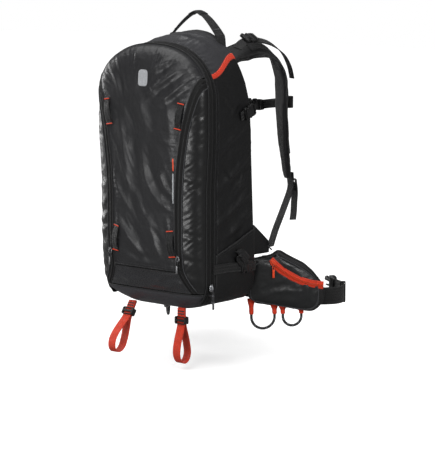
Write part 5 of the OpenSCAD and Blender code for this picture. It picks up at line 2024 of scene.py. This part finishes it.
def zip_slider(name, width, length, height):
    """A zip slider in the x-z plane facing -y: two plates, two flanges and a bridge."""
    # Right-hand outlines: share of the width, share of the length
    top = [(0.36, -0.5), (0.5, -0.1), (0.5, 0.24), (0.26, 0.5)]
    low = [(0.4, -0.42), (0.44, 0.3)]

    def outline_of(half):
        right = [(width * a, length * b) for a, b in half]
        left = [(-x, z) for x, z in right]
        return round_poly(left[:1] + right + left[:0:-1], 1.2, 3)

    parts = [plate("part", outline_of(top), 1.3, -2.2, radius=0.45, segments=3),
             plate("part", outline_of(low), 0.8, -0.7, radius=0.3)]
    for sign in (-1, 1):
        x = sign * width * 0.5
        parts.append(rbox("part", (x - 0.5, -2.0, -length * 0.36),
                          (x + 0.5, -0.1, length * 0.12), 0.35))
    t = np.linspace(0, math.pi, 14)
    path = grid(0.0, -2.0 - (height - 2.4) * np.clip(np.sin(t), 0, 1) ** 0.7,
                -length * 0.30 * np.cos(t))
    across = np.tile([1.0, 0, 0], (14, 1))
    parts.append(sweep("part", path, rounded_rect(2.8, 1.1, 0.4), across,
                       np.cross(tangents(path), across), around=True))
    return join(name, parts)


def cord_loop(name, top, length, width, radius=0.95, out=(0, -1, 0), sway=0.0):
    """A closed loop of cord hanging from a point, flat across direction out."""
    t = np.linspace(0, 2 * np.pi, 44, endpoint=False)
    x = width / 2 * np.sin(t) * (0.55 + 0.45 * np.sin(t / 2) ** 2) * 1.2
    z = -length / 2 * (1 - np.cos(t))
    out = unit(out)
    across = unit(np.cross(out, (0, 0, 1)))
    path = (np.array(top) + (x + sway * (z / length) ** 2)[:, None] * across
            + z[:, None] * np.array([0, 0, 1.0]) + out * (0.6 * np.sin(t))[:, None])
    return rope(name, path, radius, closed=True)


# belt slider with its pull
angle = math.radians(225.5)
x, z = ARC_X + ARC_R * math.cos(angle), ARC_Z + ARC_R * math.sin(angle)
y = min(float(zip_y[np.abs(ARC_ANGLES - angle).argmin()]) - 1.8, 2.6)
along = unit([math.sin(angle), 0, -math.cos(angle)])
SLIDER_BODY = "belt_slider_right"
slider = orient(zip_slider("belt_slider_body_right", 10.5, 14, 5.4), (x, y, z),
                np.cross((0, 1, 0), along), (0, 1, 0), along)
hip(slider, "slider_red", "belt_slider_right", body=SLIDER_BODY)
x, y, z = x + 0.4, y - 4.4, z - 1.6
hip(cord_loop("belt_pull_cord_right", (x, y, z), 15, 4.2), "cord_red", body=SLIDER_BODY)
hip(rbox("belt_pull_grip_right", (x - 2.6, y - 2.2, z - 30), (x + 2.6, y + 1.4, z - 12), 1.6, 4),
    "slider_red", body=SLIDER_BODY)

# ------------------------------------------------------------------ belt webbing and hip buckle

# Centres (x, y) in the wing's frame
BELT_WEB = [(146, 40.5), (158, 42.2), (172, 42.5), (190, 46), (205, 57), (214, 74), (217, 94),
            (215, 116), (208, 138), (205.6, 145.4)]
BELT_TAIL = [(207.5, 134), (211, 120), (212.5, 104), (211.5, 88), (208.6, 76)]
BELT_Z = 3
hip(webbing("belt_web_right", [(x, y, BELT_Z) for x, y in BELT_WEB], UPRIGHT, 38, 2.2, 9),
    "web", "belt_webbing_right")
hip(webbing("belt_web_tail_right", [(x, y, BELT_Z) for x, y in BELT_TAIL], UPRIGHT, 38, 2.0, 8),
    "web")
keeper = plate("belt_keeper_right", rounded_rect(12.4, 46, 2.2), 8.5, radius=1.0,
               holes=[rounded_rect(7.6, 40, 1.2)])
hip(orient(keeper, (213.6, 84.5, BELT_Z), (1, -0.2, 0), (0.2, 1, 0), UPRIGHT), "plastic")
for k in (0, 1):
    hip(tack("belt_web_tack_%d_right" % k, (150 + k * 9, 39.2 + k, BELT_Z), UPRIGHT,
             (0.1, -1, 0), 34, 3, 1.0), "thread")
angle = math.radians(107.5)
buckle_frame = BELT_FRAME @ frame_matrix(
    (206.5, 142.5, BELT_Z), (math.cos(angle), math.sin(angle), 0),
    (-math.sin(angle), math.cos(angle), 0), UPRIGHT)
rig(mirror(place(socket("belt_socket_left", 44, 50, 13.2), buckle_frame)), "hip_wing_left",
    "plastic", "belt_socket")
rig(place(clip("belt_clip_right", 18, 49, 11.6, 26), buckle_frame), "hip_wing_right", "plastic",
    "belt_clip")

# ------------------------------------------------------------------ gear loops

WING_EDGE = ([1, 20, 60, 112, 134], [0, -8, -16, -24, -26])  # x and z of the lower edge
for loop_name, start, end in (("front", 72, 112), ("rear", 4, 54)):
    radius = (end - start) / 2
    path = [(start, 20, -26.5), (start, 20, -31)]
    path += [(start + radius + radius * math.cos(t), 20, -35 + radius * math.sin(t))
             for t in np.radians(np.linspace(180, 360, 30))]
    path += [(end, 20, -31), (end, 20, -26.5)]
    body = "gear_loop_%s_right" % loop_name
    hip(rope("gear_cord_%s_right" % loop_name, even_path(np.array(path, float), 2.0), 2.9, 12),
        "cord", body, body=body)
    # funnel-shaped orange anchors
    for k, x in enumerate((start, end)):
        top = float(np.interp(x, *WING_EDGE)) + 5
        t = np.linspace(0, 1, 14)
        path = grid(float(x), lerp(26.0, 20, np.minimum(1, t * 1.2)), lerp(top, -29.0, t))
        anchor = sweep("gear_anchor_%s_%d_right" % (loop_name, k), path,
                       circle(1, 16) * [1, 0.82], np.tile([1.0, 0, 0], (14, 1)),
                       np.tile([0, 1.0, 0], (14, 1)), around=True,
                       scale=lerp(8.6, 4.1, t ** 0.7) + 0.5 * np.sin(t * 9))
        hip(anchor, "tape_red")
        hip(tack("gear_tack_%s_%d_right" % (loop_name, k),
                 (x, lerp(26.0, 20, 0.6) - 3.4, lerp(top, -23.5, 0.6)), (1, 0, 0), (0, -1, 0.1),
                 7, 2.4), "thread")

# cloth that joins the lumbar pad to each wing, bending over the fold
for sign, side in SIDES:
    share = np.linspace(0, 1, 26)[None]
    z = lerp(lerp(14, 6, share), lerp(100, 80, share), np.linspace(0, 1, 26)[:, None])
    y = lerp(101.5, 128, share) + 1.8 * np.sin(math.pi * share)
    bridge = grid(lerp(78, 111, share) * sign, y + noise(z / 20, share * 2, seed=191) - 2.0, z)
    bridge = shell("belt_bridge_" + side, bridge, 7.0, flip=sign > 0)
    bridge.data.materials.append(MAT["pad"])
    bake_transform(bridge)

# ------------------------------------------------------------------ ice axe loops

# Centres (y, z) below the point where the loop is sewn on
AXE_LOOP = [
    (-1.6, 0), (-2.4, -10), (-2.6, -20), (-3.4, -36), (-7, -50), (-12, -66), (-16, -84),
    (-16, -100), (-9, -113), (2, -117), (12, -111), (17, -98), (15, -80), (10, -60), (5, -44),
    (2.6, -30), (1.8, -16), (1.6, 0)]

for sign, side, tilt in ((-1, "left", -33), (1, "right", 0)):
    body = "axe_loop_" + side
    axe_frame = (Matrix.Translation((sign * 66 * MM, -60 * MM, 7 * MM))
                 @ Matrix.Rotation(math.radians(tilt), 4, "X"))
    web = webbing("axe_loop_web_" + side,
                  [(0.9 * math.sin(i * 0.7), y, z) for i, (y, z) in enumerate(AXE_LOOP)],
                  [(1, 0.06 * math.sin(i * 0.5), 0) for i in range(len(AXE_LOOP))], 20, 1.7, 8)
    rig(place(web, axe_frame), body, "web_red", body)
    parts = [plate("part", rounded_rect(28, 16, 3.0, z=-26), 3.2, -7.2, radius=1.0, segments=3,
                   holes=[rounded_rect(21.6, 3.6, 1.2, z=z) for z in (-21.8, -30.2)]),
             plate("part", rounded_rect(28, 16, 3.0, z=-26), 2.6, 3.2, radius=0.9, segments=3,
                   holes=[rounded_rect(21.6, 9.6, 1.4, z=-26)])]
    parts += [rbox("part", (x - 1.1, -7, -33.2), (x + 1.1, 5.6, -18.8), 0.8, 3)
              for x in (-12.8, 12.8)]
    rig(place(join("axe_glide_" + side, parts), axe_frame), body, "plastic",
        "axe_buckle_" + side)
    for k, (y, z) in enumerate(((-3.3, -12.5), (-3.0, -7.0))):
        thread = tack("axe_tack_%d_%s" % (k, side), (0, y, z), (1, 0, 0), (0, -1, 0), 17, 2.6,
                      1.0)
        rig(place(thread, axe_frame), body, "thread")

# ------------------------------------------------------------------ zip sliders of the bag

TOOL_SLIDER_Z = 118
for sign, side in SIDES:
    # the main slider faces outwards on the rim
    rim = outline(ZIP_Y, 1.02)[0]
    box_low, box_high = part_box("main_slider_" + side)
    pull_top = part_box("main_pull_" + side)[1].z * 1000
    slider = orient(zip_slider("main_slider_body_" + side, 10, 15, 6.0),
                    (rim + 3.2, ZIP_Y, (box_low.z + box_high.z) * 500),
                    (0, 1, 0), (-1, 0, 0), (0, 0, 1))
    if sign < 0:
        mirror(slider)
    rig(slider, "main_slider_" + side, "slider", "main_slider_" + side)
    pull = "main_pull_" + side
    cords = [cord_loop("part", (sign * (rim + 8.8), ZIP_Y - 0.6, pull_top + 1.0), 30, 5.4,
                       out=(sign, 0, 0), sway=1.6),
             cord_loop("part", (sign * (rim + 9.4), ZIP_Y + 0.6, pull_top + 1.0), 27, 4.4,
                       out=(sign, 0.3, 0), sway=-2.2)]
    rig(join("main_pull_cord_" + side, cords), pull, "cord", pull)
    low_x, high_x = sorted((sign * (rim + 7.4), sign * (rim + 10.8)))
    grip = rbox("main_pull_grip_" + side, (low_x, ZIP_Y - 2.6, pull_top - 41),
                (high_x, ZIP_Y + 2.6, pull_top - 26), 1.5, 4)
    if sign > 0:
        rig(grip, pull, "slider_black", slot="black_plastic")
    else:
        rig(grip, pull, "slider_red", slot="orange_plastic")
    # tool pocket slider
    body = "tool_slider_" + side
    x = float(tool_x(TOOL_SLIDER_Z))
    y = float(front_y(x, 170)) - 1.9
    x *= sign
    rig(shift(zip_slider("tool_slider_body_" + side, 8.6, 13, 5.2), x, y, TOOL_SLIDER_Z), body,
        "slider_black", body)
    rig(cord_loop("tool_pull_cord_" + side, (x, y - 3.9, 116.6), 14, 4.0, 0.85), body, "cord")
    rig(rbox("tool_pull_grip_" + side, (x - 2.3, y - 5.2, 88), (x + 2.3, y - 2.8, 104.5), 1.1,
             3), body, "slider_black", slot="black_plastic")

# ------------------------------------------------------------------ divider inside the flap

z, u = np.linspace(50, 540, 120)[:, None], np.linspace(-1, 1, 50)[None]
cloth = grid(u * (front_x(z) - 8.4), ZIP_Y - 2.6 + 0.9 * noise(u * 3, z / 60, seed=201), z)
rig(shell("divider_cloth", cloth, 0.9), "main_flap", "lining", "pocket_divider")
for k, x in enumerate((-52, 0, 52)):
    z, u = np.linspace(120, 300 - abs(x) * 0.5, 40)[:, None], np.linspace(0, 1, 16)[None]
    fullness = np.sin(math.pi * u) * np.sin(math.pi * (z - 120) / 200) ** 0.5
    cloth = grid(x - 24 + 48 * u, ZIP_Y - 4.4 - 2.4 * fullness, z)
    rig(shell("divider_sleeve_%d" % k, cloth, 0.8), "main_flap", "lining")
    trim("divider_sleeve_edge_%d" % k, cloth[-1] + [0, -0.5, 0], 1.0, "main_flap", "tape_red")

# ------------------------------------------------------------------ airbag and its handle


def airbag_outline():
    """An arch with two legs."""
    outer = [(94 * math.cos(t), 440 + 94 * math.sin(t)) for t in np.linspace(0, math.pi, 30)]
    inner = [(50 * math.cos(t), 436 + 50 * math.sin(t)) for t in np.linspace(math.pi, 0, 24)]
    return [(94, 374)] + outer + [(-94, 374), (-50, 374)] + inner + [(50, 374)]


def airbag_relief(points, normals):
    relief = 1.4 * (creases(points[:, 0], points[:, 2], 35, 40, 16, seed=211) - 0.4)
    layers = np.exp(-np.sin(points[:, 1] / 5.2) ** 2 * 12) * (np.abs(normals[:, 1]) < 0.5)
    return relief - 1.8 * layers


bag = plate("airbag_folded", shrink(airbag_outline(), 4), 42, -13, radius=9, segments=4)
puff(bag, voxel=0.006, pressure=4, cap=0.005)
rig(groove(bag, airbag_relief), "bag", "airbag", "airbag_bladder")

angle = math.radians(23)
handle_frame = frame_matrix((-98, 266.5, 328), (math.cos(angle), math.sin(angle), 0),
                            (-math.sin(angle), math.cos(angle), 0), (0, 0, 1))
# Outline points (x, z) of the grip
GRIP = [(-26, -12), (-20, -15.6), (-7, -13.6), (7, -13.6), (20, -15.6), (26, -12), (26.6, -6),
        (22, -0.8), (8, -0.4), (-8, -0.4), (-22, -0.8), (-26.6, -6)]
parts = [plate("part", round_poly(GRIP, 4, 4), 13.0, -6.5, radius=3.4, segments=4),
         rbox("part", (-6.6, -4.8, -2), (6.6, 4.8, 30), 2.6, 4)]
parts += [rbox("part", (-20 + 5.0 * k, -7.0, -12), (-18.6 + 5.0 * k, 7.0, -3.4), 0.5)
          for k in range(9)]
rig(place(join("trigger_grip", parts), handle_frame), "trigger_handle", "plastic_red",
    "trigger_handle")
lanyard = webbing("trigger_lanyard", [(0, 0, z) for z in np.linspace(26, 41, 6)], (1, 0, 0), 9,
                  3.0, 3)
rig(place(lanyard, handle_frame), "trigger_handle", "web_red")

# CAD pieces that keep their shape
for piece, material in (("gas_cylinder", "alloy"), ("inflator_head", "alloy_dark"),
                        ("piercing_pin", "steel"), ("trigger_cable", "cable"),
                        ("frame_sheet", "sheet"), ("frame_stays", "alloy")):
    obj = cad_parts[piece]
    if obj.data.materials:
        for material_slot in obj.material_slots:
            material_slot.material = MAT[material]
    else:
        obj.data.materials.append(MAT[material])

# ------------------------------------------------------------------ floor, light and camera

# From here on, lengths are metres.


def floor_material():
    """White to the camera, dim in reflections."""
    m = Shader("floor_white")
    clouds = m.noise(m.coord("Object"), scale=3)
    m.finish(m.tint([0.93, 0.93, 0.93], m.spread(clouds, 0.99, 1.01)), rough=0.9, spec=0.1)
    dim = m.add("ShaderNodeBsdfDiffuse", {"Color": (0.25, 0.25, 0.25, 1)})
    glow = m.add("ShaderNodeEmission", {"Strength": 0.38})
    bright = m.add("ShaderNodeAddShader", {0: m.surface.outputs[0], 1: glow.outputs[0]})
    rays = m.add("ShaderNodeLightPath")
    mix = m.add("ShaderNodeMixShader", {0: rays.outputs["Is Camera Ray"], 1: dim.outputs[0],
                                        2: bright.outputs[0]})
    m.put(m.output, 0, mix.outputs[0])
    return m.material


def make_floor(half=9.0, z=-0.125, cells=24):
    mesh = bpy.data.meshes.new("floor")
    ticks = [-half + 2 * half * i / cells for i in range(cells + 1)]
    faces = []
    for i in range(cells):
        for j in range(cells):
            a = i * (cells + 1) + j
            faces.append((a, a + cells + 1, a + cells + 2, a + 1))
    mesh.from_pydata([(x, y, z) for x in ticks for y in ticks], [], faces)
    floor = link(bpy.data.objects.new("floor", mesh))
    mesh.materials.append(floor_material())


def make_world():
    """White to the camera, dimmer in what the fabric reflects."""
    world = bpy.data.worlds.new("w")
    bpy.context.scene.world = world
    world.use_nodes = True
    tree = world.node_tree
    dim = tree.nodes["Background"]
    white = tree.nodes.new("ShaderNodeBackground")
    for node, strength in ((dim, 0.135), (white, 1.0)):
        node.inputs["Color"].default_value = (1, 1, 1, 1)
        node.inputs["Strength"].default_value = strength
    mix = tree.nodes.new("ShaderNodeMixShader")
    rays = tree.nodes.new("ShaderNodeLightPath")
    tree.links.new(rays.outputs["Is Camera Ray"], mix.inputs[0])
    tree.links.new(dim.outputs[0], mix.inputs[1])
    tree.links.new(white.outputs[0], mix.inputs[2])
    tree.links.new(mix.outputs[0], tree.nodes["World Output"].inputs[0])


def area_light(name, location, target, size, power, height=None):
    light = bpy.data.lights.new(name, "AREA")
    light.energy = power
    light.size = size
    if height:
        light.shape = "RECTANGLE"
        light.size_y = height
    obj = link(bpy.data.objects.new(name, light))
    obj.location = location
    aim = Vector(target) - Vector(location)
    obj.rotation_euler = aim.to_track_quat("-Z", "Y").to_euler()


def make_lights():
    area_light("key", (0.7, -2.4, 2.1), target=(0, 0, 0.35), size=1.1, power=21)
    area_light("front", (-0.25, -3.0, 0.1), target=(0.05, 0, 0.25), size=1.1, power=31,
               height=0.8)
    area_light("side", (2.7, -0.6, 1.3), target=(0.1, 0, 0.25), size=0.9, power=38)
    sun = bpy.data.lights.new("sun", "SUN")
    sun.energy = 2.3
    sun.angle = math.radians(70)
    obj = link(bpy.data.objects.new("sun", sun))
    obj.rotation_euler = (math.radians(12), math.radians(-14), 0)
    area_light("rim", (-2.6, -0.1, 0.6), target=(0, 0, 0.3), size=0.7, power=20, height=1.2)


def make_camera():
    """Looks from the front right, a little from above."""
    turn_angle, rise_angle, distance = math.radians(38), math.radians(9), 4.2
    target = Vector((0, 0, 0.28))
    slide_right, slide_down = 0.08925, 0.1302  # moves that put the bag off centre
    forward = Vector((-math.sin(turn_angle) * math.cos(rise_angle),
                      math.cos(turn_angle) * math.cos(rise_angle), -math.sin(rise_angle)))
    right = Vector((math.cos(turn_angle), math.sin(turn_angle), 0))
    up = right.cross(forward)
    camera = bpy.data.cameras.new("cam")
    camera.sensor_width = 36
    camera.sensor_fit = "AUTO"
    camera.lens = 153.84615385
    camera.clip_end = 50
    obj = link(bpy.data.objects.new("cam", camera))
    obj.location = target - forward * distance + right * slide_right - up * slide_down
    obj.rotation_euler = forward.to_track_quat("-Z", "Y").to_euler()
    bpy.context.scene.camera = obj


make_floor()
make_world()
bpy.context.scene.view_settings.view_transform = "Standard"
make_lights()
make_camera()
